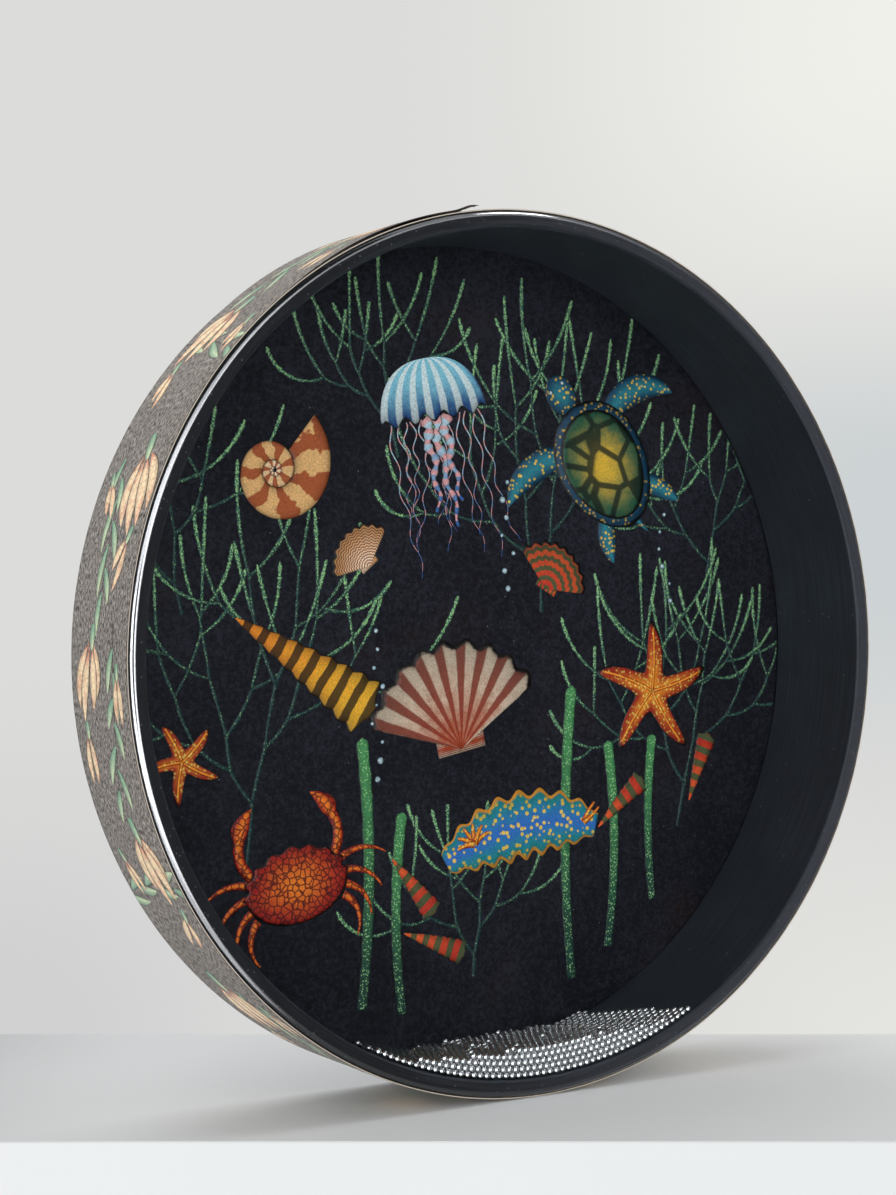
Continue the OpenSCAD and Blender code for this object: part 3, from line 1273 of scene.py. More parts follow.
class Motifs:
    """Generic drawings for the printed film and the wrap, in millimetres round their own middle."""

    def __init__(self, seed: int) -> None:
        """Starts the draws that vary the drawings."""
        self.rng = np.random.default_rng(seed)

    def frond(self, height: float, forks: int, lean: float = 0.0, layer: int = 0) -> list[Drawing]:
        """A water plant like antlers: every branch forks, and each finger bends upwards to a bumpy tip.

        At a fork one branch goes nearly straight on and the other leaves to the side that has more room.
        A branch bends by a share of the way from its heading to upright.

        Args:
            height: Height of the plant.
            forks: How often it forks.
            lean: Lean of the stem from upright, in degrees.
            layer: The layer that it lies in.

        Returns:
            Its drawings.
        """
        rng = self.rng
        start, heading, side = np.zeros((1, 2)), np.array([90.0 - lean]), np.array([1.0])
        made = []
        for level in range(forks + 1):
            last = level == forks
            bend = (90 - heading) * (0.75 if last else 0.35) + rng.uniform(-9, 9, len(heading))
            length = height * (0.34 if last else 0.16) * rng.uniform(0.65, 1.25, len(heading))
            path = curved_paths(start, heading, length, bend, 54 if last else 26)
            t = np.linspace(0, 1, path.shape[1])
            if last:
                half = (0.75 + 0.6 * t) * np.sqrt(np.clip((1.02 - t) / 0.08, 0.05, 1))
            else:
                half = 1.1 - 0.3 * (level + t) / forks
            bumps = rng.uniform(0.6, 1.4, path.shape[:2])
            begin = 0.1 + 0.35 * level / forks
            part = (begin, 1.0 if last else begin + 0.3 / forks)
            tone, over = 0.55 + 0.35 * level / forks, layer + min(level, 2)
            made.append(strips(FROND, path, half * bumps, 3, tone, over, part))
            way = heading + bend
            turn = [side * rng.uniform(36, 62, len(way)), -side * rng.uniform(4, 16, len(way))]
            start = np.repeat(path[:, -1], 2, 0)
            heading = (way[:, None] + np.stack(turn, axis=-1)).ravel()
            side = np.stack([side, -side], axis=-1).ravel()
        return made

    def blade(self, height: float, width: float, lean: float, layer: int = 3) -> list[Drawing]:
        """A ribbon of kelp with a round top, along a path that leans one way and back."""
        path = lone_path((0.0, 0.0), 90 - lean, height, 2 * lean, 90)
        share = np.linspace(0, 1, 91)
        top = np.sqrt(np.clip(1 - ((share - 0.975) / 0.025).clip(0, 1) ** 2, 0.01, 1))
        hem = 1 + 0.05 * np.sin(share * 60) + self.rng.uniform(-0.05, 0.05, 91)
        half = width / 2 * (0.72 + 0.28 * share) * top * hem
        return [strips(BLADE, path, half, 7, 0.85, layer)]

    def fan(self, radius: float, ink: Ink = FAN, layer: int = 6) -> list[Drawing]:
        """A fan shell: a sector whose radius has one small lobe for each rib, over two ears."""
        reach, ribs = 66, 9
        angle = np.radians(np.linspace(-reach, reach, 91))
        share = np.linspace(0, 1, 12)[:, None]
        lobed = radius * (1 + 0.03 * np.cos(angle * ribs * TURN / (2 * math.radians(reach))))
        x, y = share * lobed * np.sin(angle), share * lobed * np.cos(angle) - radius * 0.5
        points = np.stack([x, y], axis=-1)[None]
        side = angle / angle[-1]
        across = np.broadcast_to(side * 0.5 + 0.5, points.shape[:3])
        rim = np.maximum(share, np.abs(side) ** 9)
        along, rim = (np.broadcast_to(values, points.shape[:3]) for values in (share, rim))
        shell = Drawing(ink, points * MM, along, across, rim, 0.95, layer)
        ear = lone_path((-radius * 0.26, -radius * 0.46), 0.0, radius * 0.52, 0.0, 8)
        return [strips(ink, ear, radius * 0.075, 3, 0.8, layer - 1), shell]

    def star(self, radius: float, layer: int = 6) -> list[Drawing]:
        """A sea star: the radius is a third of the whole, and rises to it in a bell round each arm."""
        angle = np.linspace(0, TURN, 151)
        off = (angle * 5 / TURN + 0.5) % 1 - 0.5
        length = radius * (0.3 + 0.7 * np.exp(-((off / 0.2) ** 2) ** 0.8))
        curl = angle + 0.16 * (length / radius) ** 2
        outline = np.stack([length * np.cos(curl), length * np.sin(curl)], axis=-1)
        arm_turn = np.linspace(0, TURN, 6)[:5]
        reach, bend = np.full(5, radius * 0.88), np.full(5, 14.0)
        arm = curved_paths(np.zeros((5, 2)), np.degrees(arm_turn), reach, bend, 10)
        return [
            patch(STAR, outline, rings=8, tone=0.95, layer=layer),
            strips(STAR, arm, 0.9, 3, 1.1, layer + 1),
        ]

    def chambered(self, radius: float, layer: int = 6) -> list[Drawing]:
        """A coiled shell: the outer radius grows by a factor each turn, and the inner lags by a turn."""
        growth = math.log(2.9) / TURN
        angle = np.linspace(-TURN * 2.8, 0.55, 190)[:, None]
        share = np.linspace(0, 1, 9)
        outer = radius * np.exp(growth * (angle - 0.55))
        length = outer * (1 - share * (1 - math.exp(-growth * TURN)))
        points = np.stack([length * np.cos(angle), length * np.sin(angle)], axis=-1)[None]
        along = np.broadcast_to(np.linspace(0, 1.3, 190)[:, None], points.shape[:3])
        across = np.broadcast_to(share, points.shape[:3])
        rim = np.abs(across * 2 - 1) ** 2
        return [Drawing(CHAMBER, points * MM, along, across, rim, 0.95, layer)]

    def bell(self, radius: float, layer: int = 6) -> list[Drawing]:
        """A jellyfish: a dome with a scalloped hem, over wavy threads and broader frills."""
        share = np.linspace(0, 1, 14)[:, None]
        side = np.linspace(-1, 1, 61)
        down_dome = share * math.pi / 2
        x = radius * np.sin(down_dome) ** 0.8 * side
        y = radius * 0.95 * np.cos(down_dome) - 0.07 * radius * np.cos(side * 5.5 * math.pi) * share**6
        points = np.stack([x, y], axis=-1)[None]
        across = np.broadcast_to(side * 0.5 + 0.5, points.shape[:3])
        rim = np.maximum(np.broadcast_to(share**3, points.shape[1:3]), np.abs(side) ** 8 * share)[None]
        along = np.broadcast_to(share, points.shape[:3])
        dome = Drawing(BELL, points * MM, along, across, rim, 0.95, layer)
        threads = 13
        root = np.stack([np.linspace(-0.86, 0.86, threads) * radius, np.full(threads, 0.0)], axis=-1)
        length = radius * self.rng.uniform(1.5, 2.5, threads)
        heading = -90 + self.rng.uniform(-9, 9, threads)
        down = curved_paths(root, heading, length, self.rng.uniform(-26, 26, threads), 30)
        t = np.linspace(0, 1, 31)
        down[..., 0] += radius * 0.05 * np.sin(t * 21 + self.rng.uniform(0, 6, (threads, 1)))
        way, reach, bend = np.array([[-84.0, -90, -96], [1.5, 1.8, 1.4], [-14, 8, 16]])
        frill = curved_paths(root[[4, 6, 8]] * [0.7, 1], way, radius * reach, bend, 30)
        frill[..., 0] += radius * 0.05 * np.sin(t * 17 + np.arange(3)[:, None])
        wide = radius * 0.1 * (1 - 0.75 * t) * (1 + 0.35 * np.sin(t * 46))
        return [
            strips(THREAD, down, 0.42 * (1 - 0.6 * t), 3, 0.8, layer - 2),
            strips(THREAD, frill, wide, 5, 0.95, layer - 1),
            dome,
        ]

    def turtle(self, length: float, layer: int = 6) -> list[Drawing]:
        """A turtle from above: an egg-shaped shield, a head, a tail and four tapered flippers."""
        angle = np.linspace(0, TURN, 101)
        x, y = 0.37 * np.cos(angle) * (1 + 0.1 * np.sin(angle)), 0.48 * np.sin(angle)
        egg = np.stack([x, y], axis=-1) * length
        inner = egg * 0.86
        neck = (0.0, 0.6 * length)
        head = np.stack([0.12 * np.cos(angle), 0.15 * np.sin(angle)], axis=-1) * length + neck
        t = np.linspace(0, 1, 21)
        start = np.array([[0.27, 0.26], [-0.27, 0.26], [0.22, -0.3], [-0.22, -0.3]]) * length
        way, reach, bend = np.array(
            [[18.0, 150, -52, 232], [0.62, 0.58, 0.32, 0.32], [-78, 62, -20, 26]]
        )
        swim = curved_paths(start, way, reach * length, bend, 20)
        broad = length * np.array([0.105, 0.105, 0.075, 0.075])[:, None]
        half = broad * np.sin(math.pi * (0.22 + 0.78 * t)) ** 0.7
        tail = lone_path((0.0, -0.45 * length), -90.0, 0.14 * length, 20.0, 8)
        tail_half = length * 0.035 * (1 - 0.9 * np.linspace(0, 1, 9))
        eye = np.stack([0.016 * np.cos(angle), 0.016 * np.sin(angle)], axis=-1) * length
        eyes = [(side * 0.06 * length, 0.66 * length) for side in (1, -1)]
        return [
            strips(SKIN, swim, half, 5, 0.9, layer - 2),
            strips(SKIN, tail, tail_half, 3, 0.8, layer - 2),
            patch(SKIN, head, neck, tone=0.95, layer=layer - 1),
            *(patch(PEARL, eye + at, at, 3, 0.9, layer) for at in eyes),
            patch(SKIN, egg, rings=6, tone=1.15, layer=layer),
            patch(SCUTE, inner, rings=8, tone=0.98, layer=layer + 1),
        ]

    def turret(self, length: float, ink: Ink = TURRET, layer: int = 6) -> list[Drawing]:
        """A tall coiled shell: its half width shrinks to the tip and swells once for each whorl."""
        whorls = 9
        path = lone_path((0.0, -length / 2), 88.0, length, 4.0, 80)
        t = np.linspace(0, 1, 81)
        swell = 0.9 + 0.16 * np.abs(np.sin(t * whorls * math.pi))
        half = length * 0.17 * (1 - t) ** 0.85 * swell + 0.3
        half = half * np.clip(t / 0.05, 0.35, 1)
        return [strips(ink, path, half, 7, 0.95, layer)]

    def crab(self, width: float, layer: int = 6) -> list[Drawing]:
        """A crab: a broad shield with a toothed front, eight bent legs and two claws."""
        angle = np.linspace(0, TURN, 121)
        tooth = 1 + 0.05 * np.cos(angle * 16) * (np.sin(angle) > 0)
        x, y = 0.5 * np.cos(angle) * tooth, 0.33 * np.sin(angle) * tooth + 0.02
        shield = np.stack([x, y], axis=-1) * width
        side = np.repeat([1.0, -1.0], 4)
        order = np.tile(np.arange(4), 2)
        root = np.stack([side * 0.42, 0.12 - 0.1 * order], axis=-1) * width
        way, bend = 90 - side * (62 + 22 * order), -side * (68 + 6 * order)
        leg = curved_paths(root, way, width * (0.52 - 0.03 * order), bend, 16)
        t = np.linspace(0, 1, 17)
        pair = np.array([1.0, -1.0])
        shoulder = np.stack([pair * 0.4, [0.2, 0.2]], axis=-1) * width
        arm = curved_paths(shoulder, 90 - pair * 42, np.full(2, 0.36 * width), pair * 66, 16)
        claw = curved_paths(arm[:, -1], 90 + pair * 16, np.full(2, 0.3 * width), pair * 40, 16)
        grip = curved_paths(arm[:, -1], 90 - pair * 22, np.full(2, 0.22 * width), pair * 74, 16)
        pinch = np.sin(math.pi * (0.25 + 0.75 * t))
        return [
            strips(SHIELD, leg, width * 0.042 * (1 - 0.8 * t), 3, 0.8, layer - 2),
            strips(SHIELD, arm, width * 0.05, 3, 0.85, layer - 1),
            strips(SHIELD, claw, width * 0.075 * pinch, 5, 0.95, layer),
            strips(SHIELD, grip, width * 0.045 * pinch, 5, 0.85, layer - 1),
            patch(SHIELD, shield, (0, 0.02 * width), 8, 0.98, layer + 1),
        ]

    def frilled(self, length: float, layer: int = 6) -> list[Drawing]:
        """A sea slug: a curved body whose hem is ruffled, two horns and a tuft of gills."""
        path = lone_path((-length / 2, 0.0), 24.0, length, -46.0, 70)
        t = np.linspace(0, 1, 71)
        half = length * 0.17 * np.sin(math.pi * (0.04 + 0.92 * t)) ** 0.55 * (1 + 0.13 * np.sin(t * 52))
        face, back = np.repeat(path[:, -7], 2, 0), np.repeat(path[:, 14], 6, 0)
        way, bend = np.array([[58.0, 20], [-20, 20]])
        horns = curved_paths(face, way, np.full(2, length * 0.13), bend, 8)
        way, bend = np.linspace(40, 170, 6), np.linspace(-30, 30, 6)
        tuft = curved_paths(back, way, np.full(6, length * 0.11), bend, 8)
        taper = 1 - 0.6 * np.linspace(0, 1, 9)
        return [
            strips(FRILL, path, half, 9, 0.95, layer),
            strips(STAR, horns, length * 0.018 * taper, 3, 0.9, layer + 1),
            strips(STAR, tuft, length * 0.02 * taper, 3, 0.95, layer + 1),
        ]

    def pearls(self, count: int, reach: float, layer: int = 9) -> list[Drawing]:
        """Bubbles: small discs that rise in a loose column."""
        angle = np.linspace(0, TURN, 25)
        ring = np.stack([np.cos(angle), np.sin(angle)], axis=-1)
        rise = np.linspace(0, reach, count)
        made = []
        for height, radius in zip(rise, self.rng.uniform(0.8, 2.1, count)):
            centre = (self.rng.uniform(-4, 4), height)
            made.append(patch(PEARL, ring * radius + centre, centre, 3, 0.7, layer))
        return made

    def blossom(self, radius: float, petals: int, spread: float, layer: int = 3) -> list[Drawing]:
        """A hanging blossom: long pointed petals fanned out below a green cup, the middle ones on top.

        Args:
            radius: Length of the longest petals.
            petals: Their number.
            spread: Angle from the first petal to the last, in degrees.
            layer: The layer that it lies in.

        Returns:
            Its drawings.
        """
        rng = self.rng
        share = np.linspace(-1, 1, petals)
        turn = -90 + share * spread / 2 + rng.uniform(-4, 4, petals)
        length = radius * (1 - 0.16 * np.abs(share)) * rng.uniform(0.8, 1.12, petals)
        path = curved_paths(np.zeros((petals, 2)), turn, length, -share * spread * 0.62, 24)
        t = np.linspace(0, 1, 25)
        belly = np.sin(math.pi * np.clip((t - 0.16) / 0.84, 0, 1)).clip(0) ** 0.85
        half = radius * 0.1 * belly + 0.4 * (1 - t)
        middle = np.abs(share) < 0.6
        cup = lone_path((0.0, radius * 0.16), -90.0, radius * 0.3, 8.0, 10)
        swell = radius * 0.07 * np.sin(math.pi * np.clip(np.linspace(0.15, 1, 11), 0, 1)) ** 0.6 + 0.3
        return [
            strips(PETAL, path[~middle], half, 7, 0.85, layer),
            strips(PETAL, path[middle], half, 7, 0.98, layer + 1),
            strips(LEAF, cup, swell, 5, 0.9, layer + 2),
        ]

    def spray(self, length: float, leaves: int = 7, layer: int = 1) -> list[Drawing]:
        """A spray: a thin stem with long leaves on both sides."""
        stem = lone_path((-length / 2, 0.0), 14.0, length, -30.0, 30)
        spot = np.round(np.linspace(4, 28, leaves)).astype(int)
        sign = np.where(np.arange(leaves) % 2, 1.0, -1.0)
        way = sign * self.rng.uniform(22, 40, leaves)
        reach = self.rng.uniform(0.2, 0.32, leaves) * length
        leaf = curved_paths(stem[0, spot], way, reach, -sign * 26, 14)
        t = np.linspace(0, 1, 15)
        half = length * 0.034 * np.sin(math.pi * np.clip(0.04 + 0.96 * t, 0, 1)) ** 0.9 + 0.1
        return [strips(TENDRIL, stem, 0.4, 3, 0.8, layer), strips(LEAF, leaf, half, 5, 0.9, layer + 1)]


@dataclass
class PrintedSheet:
    """A place that drawings are laid on, gathered ink by ink."""

    prefix: str
    slot: str
    sizes: DrumSizes = field(default_factory=DrumSizes)
    margin: float = 0.2 * MM
    first_lift: float = 0.022 * MM
    layer_lift: float = 0.012 * MM
    shuffle_share: float = 0.85
    ink_share: float = 0.1
    weld: float = 2e-7
    surfaces: dict[str, Surfaces] = field(default_factory=dict)
    inks: dict[str, Ink] = field(default_factory=dict)
    rng: np.random.Generator = field(default_factory=lambda: np.random.default_rng(5))

    def laid(self, points: Array, lift: Array | float) -> Array:
        """Takes points in the plane of the print to their place on the object."""
        raise NotImplementedError

    def draw(self, drawings: Sequence[Drawing], at: tuple[float, float], turn: float = 0.0) -> None:
        """Lays drawings on the sheet.

        Args:
            drawings: The drawings of one motif.
            at: Where its middle goes, in millimetres.
            turn: Its turn in degrees.
        """
        for drawing in drawings:
            placed = drawing.moved(at, turn)
            order = self.rng.uniform(0, self.shuffle_share, (len(placed.points), 1, 1))
            lift = self.first_lift + self.layer_lift * (placed.layer + order)
            points = self.laid(placed.points, lift)
            pattern = np.stack(np.broadcast_arrays(placed.along, placed.across), axis=-1)
            rim = np.broadcast_to(placed.rim, placed.along.shape)
            tone = np.stack([np.full(rim.shape, placed.tone), rim], axis=-1)
            key = placed.ink.name
            if key not in self.surfaces:
                self.surfaces[key] = Surfaces(f"{self.prefix}_{key.removeprefix('ink_')}")
                self.inks[key] = placed.ink
            self.surfaces[key].add(points, pattern, tone, flip=self._looks_away(placed.points))

    def _looks_away(self, points: Array) -> bool:
        """Whether a grid's faces would look away from the viewer, from the sign of its area."""
        row = np.diff(points, axis=1)[:, :, :-1]
        column = np.diff(points, axis=2)[:, :-1]
        return float((row[..., 0] * column[..., 1] - row[..., 1] * column[..., 0]).sum()) < 0

    def build(self) -> None:
        """Makes one piece of each ink, as a film of ink with a thickness."""
        for key, surfaces in self.surfaces.items():
            piece = surfaces.build(weld=self.weld)
            film = piece.modifiers.new("ink_thickness", "SOLIDIFY")
            film.thickness = self.layer_lift * self.ink_share
            film.offset = -1.0
            finished(piece, self.inks[key], "drum")


@dataclass
class FilmPrint(PrintedSheet):
    """The drawings on the inner face of the printed head.

    The plane's x is X, and its y is Z from the axis.
    """

    prefix: str = "print"
    slot: str = "printed_film"
    seed: int = 7

    def laid(self, points: Array, lift: Array | float) -> Array:
        """A point goes to X and Z as drawn, just in front of the film."""
        reach = np.linalg.norm(points, axis=-1, keepdims=True)
        kept = points * np.minimum(1, (self.sizes.bore_r - self.margin) / np.maximum(reach, MM))
        depth = np.broadcast_to(self.sizes.film_back - lift, points.shape[:-1])
        return np.stack([kept[..., 0], depth, kept[..., 1] + self.sizes.wrap_r], axis=-1)

    def compose(self) -> None:
        """Lays out the sea bed: plants behind, then shells and animals, then bubbles."""
        m = Motifs(self.seed)
        for at, height, forks, lean in (
            ((-118, -96), 150, 5, 8),
            ((-150, 18), 128, 4, -14),
            ((44, 18), 136, 5, -4),
            ((128, -92), 132, 5, 14),
            ((4, -158), 96, 4, 6),
            ((-38, 92), 104, 4, -12),
            ((146, 30), 104, 4, 16),
        ):
            self.draw(m.frond(height, forks, lean), at)
        for at, height, width, lean in (
            ((-58, -168), 128, 7.0, 7),
            ((-36, -172), 96, 6.5, -8),
            ((62, -164), 146, 7.0, -6),
            ((84, -150), 104, 6.5, 9),
            ((112, -128), 84, 6.0, -7),
        ):
            self.draw(m.blade(height, width, lean), at)
        self.draw(m.turtle(72), (82, 92), 38)
        self.draw(m.chambered(34), (-104, 84), 20)
        self.draw(m.bell(30), (-18, 112), 12)
        self.draw(m.fan(52), (-8, -22), 12)
        self.draw(m.star(36), (112, -22), 10)
        self.draw(m.star(20), (-150, -48), 40)
        self.draw(m.turret(84), (-88, -6), 58)
        self.draw(m.frilled(92), (34, -96), 8)
        self.draw(m.crab(54), (-92, -108), 12)
        for at, turn in (((-30, -112), 40), ((-18, -140), 70), ((92, -78), 130), ((142, -62), 160)):
            self.draw(m.turret(36, STRIPED), at, turn)
        self.draw(m.fan(24, STRIPED), (52, 40), -30)
        self.draw(m.fan(20, CHAMBER), (-60, 48), 40)
        self.draw(m.pearls(9, 70), (-50, -60))
        self.draw(m.pearls(7, 52), (24, 30))
        self.draw(m.pearls(6, 44), (120, 24))


@dataclass
class WrapPrint(PrintedSheet):
    """The drawings round the wrap.

    The plane's x runs round the drum from its top to the left, and its y is -Y.
    """

    prefix: str = "wrap"
    slot: str = "printed_wrap"
    seed: int = 19
    margin: float = 0.5 * MM
    first: float = 66.0
    last: float = 1236.7
    sprays: int = 15

    def laid(self, points: Array, lift: Array | float) -> Array:
        """A point goes round the wrap by its x over the radius, and to the depth of its y."""
        limit = self.sizes.wrap_half - self.margin
        angle = math.pi / 2 + points[..., 0] / self.sizes.wrap_r
        depth = np.clip(-points[..., 1], -limit, limit)
        run = points[..., 0] - math.radians(self.sizes.lap_turn) * self.sizes.wrap_r
        radius = self.sizes.wrap_r - WRAP_SKIN + lift + self.sizes.proud(run)
        return rim_points(radius, angle, depth, self.sizes.wrap_r)

    def compose(self) -> None:
        """Lays sprays and hanging blossoms round the wrap, clear of its free end."""
        m = Motifs(self.seed)
        places = np.linspace(self.first, self.last, self.sprays)
        for number, x in enumerate(places.tolist()):
            up = 1 if number % 2 else -1
            turn = float(m.rng.uniform(-16, 16))
            self.draw(m.spray(78, 7), (x + 26, up * 9), turn + 90 * (number % 3 == 1))
            self.draw(m.blossom(38 + 4 * (number % 3), 4, 96), (x - 6, -up * 7), 90 + turn)
            self.draw(m.blossom(27, 2, 44), (x + 34, -up * 17), 78 - turn)
            self.draw(m.blossom(24, 2, 40), (x + 8, up * 19), 98 + turn)


@dataclass
class Wrap:
    """The wrap round the outside: one band, and the sheet's second end that lies on it near the top.

    A wave has a phase and a pace: how often it goes round the drum, or its turn for each millimetre
    across the sheet, in radians.
    """

    sizes: DrumSizes = field(default_factory=DrumSizes)
    segments: int = 720
    corner_angle: float = 50.0
    soft: float = 0.12 * MM
    edge_wander: float = 0.035 * MM
    edge_waves: tuple[tuple[float, float], ...] = ((17, 0.4), (41, 1.9), (83, 2.6), (149, 0.7))
    sheet: float = 0.42 * MM
    ragged: float = 0.35 * MM
    ragged_waves: tuple[tuple[float, float], ...] = ((1.7, 0.0), (4.1, 1.0))
    end_inset: float = 0.15 * MM
    end_taper: tuple[float, float] = (0.35, 1 / 30)
    tip_lift: float = 1.7 * MM
    tip_reach: float = 3.4 * MM
    tip_width: float = 7 * MM
    curl_length: float = 6 * MM
    curl_width: float = 11 * MM
    core_reach: float = 0.5 * MM

    def band(self) -> bpy.types.Object:
        """Makes the band: its section goes round the drum, with hand-cut edges that wander by waves."""
        s, soft = self.sizes, self.soft
        outer = s.wrap_r - WRAP_SKIN
        half = np.array(
            [
                [s.hoop_r, 0.0],
                [s.hoop_r, s.skirt_end],
                [s.collar_r, s.skirt_end],
                [s.collar_r, s.wrap_half - soft],
                [s.collar_r + soft, s.wrap_half],
                [outer - soft, s.wrap_half],
                [outer, s.wrap_half - soft],
                [outer, s.wrap_half * 0.6],
                [outer, 0.0],
            ]
        )
        profile = np.concatenate([half, half[-2::-1] * [1, -1]])
        angle = np.linspace(0, TURN, self.segments + 1)[:, None]
        wander = sum(np.sin(k * angle + phase) for k, phase in self.edge_waves) * self.edge_wander
        edge = np.clip((np.abs(profile[:, 1]) - s.skirt_end) / (s.wrap_half - s.skirt_end), 0, 1) ** 6
        depth = profile[:, 1] + edge * wander * np.sign(profile[:, 1])
        points = rim_points(profile[:, 0], angle, depth, s.wrap_r)
        around, across = np.broadcast_arrays(angle * s.wrap_r, profile[:, 1])
        surfaces = Surfaces("wrap_band")
        surfaces.add(points, np.stack([around, across], axis=-1), np.zeros((1, 1, 2)))
        piece = surfaces.build(self.corner_angle)
        return finished(piece, WrapPaper(), "drum", ["outer_wrap"])

    def free_end(self) -> bpy.types.Object:
        """Makes the sheet's free end, which lies on the band, with its front corner lifted and curled.

        The outer face stands as proud as the sizes say, plus a lift that falls away from the corner
        along and across the sheet, each way in a bell. The end is ragged by some waves.
        """
        s = self.sizes
        across = np.linspace(-1, 1, 61)[:, None] * (s.wrap_half - self.end_inset)
        share = np.linspace(1, 0, 90) ** 1.5
        widths = (self.tip_width, self.curl_width)
        corner, curl = (np.exp(-(((across + s.wrap_half) / width) ** 2)) for width in widths)
        waves = sum(np.sin(across / MM * k + phase) for k, phase in self.ragged_waves)
        ragged = self.ragged * waves - self.tip_reach * corner
        length = s.loose_length * 1.01
        run = ragged + (length - ragged) * share
        lift = self.tip_lift * np.exp(-((run / self.curl_length) ** 2)) * curl
        outer = s.wrap_r - WRAP_SKIN + s.proud(np.clip(run, 0, None)) + lift
        thinnest, reach = self.end_taper
        thin = self.sheet * (thinnest + (1 - thinnest) * np.clip(share / reach, 0, 1))
        angle = math.pi / 2 + math.radians(s.lap_turn) + run / s.wrap_r
        radii = (outer, outer - thin / 2, outer - thin)
        top, middle, under = (rim_points(radius, angle, across, s.wrap_r) for radius in radii)
        section = np.concatenate([top, under[:, ::-1], top[:, :1]], axis=1)
        closed = np.concatenate([middle, middle[:, ::-1], middle[:, :1]], axis=1)
        points = np.concatenate([closed[:1], section, closed[-1:]])
        place = np.stack(np.broadcast_arrays(angle * s.wrap_r, across), axis=-1)
        end = np.zeros_like(place)
        end[..., 0] = np.clip(1 - (run - ragged) / self.core_reach, 0, 1)
        wide = [np.concatenate([m, m[:, ::-1], m[:, :1]], axis=1) for m in (place, end)]
        pattern, tone = (np.concatenate([m[:1], m, m[-1:]]) for m in wide)
        surfaces = Surfaces("wrap_free_end")
        surfaces.add(points, pattern, tone, flip=True)
        piece = surfaces.build(self.corner_angle)
        return finished(piece, WrapPaper(), "drum", ["outer_wrap"])

    def build(self) -> None:
        """Makes the band, its free end and the drawings on it."""
        self.band()
        self.free_end()
        drawn = WrapPrint()
        drawn.compose()
        drawn.build()


# The studio


@dataclass(frozen=True)
class Viewpoint:
    """The photograph's viewpoint: a place, a direction and a focal length over a 36 mm long side."""

    place: tuple[float, float, float] = (-0.5553, -0.8492, 0.2292)
    direction: tuple[float, float, float] = (0.52612, 0.85041, -0.00035)
    focal_length: float = 64.93
    sensor: float = 36.0

    def build(self) -> None:
        """Makes the camera and gives it to the scene."""
        data = bpy.data.cameras.new("camera")
        data.lens = self.focal_length
        data.sensor_width = self.sensor
        data.sensor_fit = "AUTO"
        data.clip_start = 0.01
        camera = bpy.data.objects.new("camera", data)
        bpy.context.scene.collection.objects.link(camera)
        camera.location = self.place
        camera.rotation_euler = Vector(self.direction).to_track_quat("-Z", "Y").to_euler()
        bpy.context.scene.camera = camera


@dataclass(frozen=True)
class Lamp:
    """A soft rectangular lamp that no camera sees."""

    name: str
    place: tuple[float, float, float]
    target: tuple[float, float, float]
    size: tuple[float, float]
    brightness: float
    colour: str = "#ffffff"
    mirrored: bool = True

    def build(self) -> None:
        """Makes the lamp. Its power is its brightness times pi times its area."""
        data = bpy.data.lights.new(self.name, "AREA")
        data.shape = "RECTANGLE"
        data.size, data.size_y = self.size
        data.energy = self.brightness * math.pi * self.size[0] * self.size[1]
        data.color = paint(self.colour)[:3]
        lamp = bpy.data.objects.new(self.name, data)
        bpy.context.scene.collection.objects.link(lamp)
        lamp.location = self.place
        away = Vector(self.target) - Vector(self.place)
        lamp.rotation_euler = away.to_track_quat("-Z", "Y").to_euler()
        lamp.visible_camera = False
        lamp.visible_glossy = self.mirrored


@dataclass(frozen=True)
class Lobe:
    """A part of the mirrored room: its direction, the angles where it is full and gone, and its depth.

    A depth above 0 is darker than the room, and one below 0 is brighter.
    """

    direction: tuple[float, float, float]
    full: float
    gone: float
    depth: float

    def shade(self, graph: Graph, way: bpy.types.NodeSocket) -> Term:
        """Its depth, times a number that goes from 0 to 1 between the cosines of its two angles."""
        gone, full = (math.cos(math.radians(angle)) for angle in (self.gone, self.full))
        aim = graph.towards(way, Vector(self.direction).normalized())
        return aim.between(gone, full) * self.depth


@dataclass(frozen=True)
class WallLightPatch:
    """A part of the wall that the camera sees, in its own lighter or darker colour: light and shade
    painted on the backdrop.

    side and height say where it begins and where it is full, as sines of the turn to the right of the
    line of sight and up. Where there is a middle, height is the distance from it, up or down.
    """

    colour: str
    side: tuple[float, float]
    height: tuple[float, float]
    strength: float = 1.0
    middle: float | None = None

    def share(self, side: Term, height: Term) -> Term:
        """The product of the two steps and the strength."""
        if self.middle is not None:
            height = (height - self.middle).size()
        return side.between(*self.side) * height.between(*self.height) * self.strength


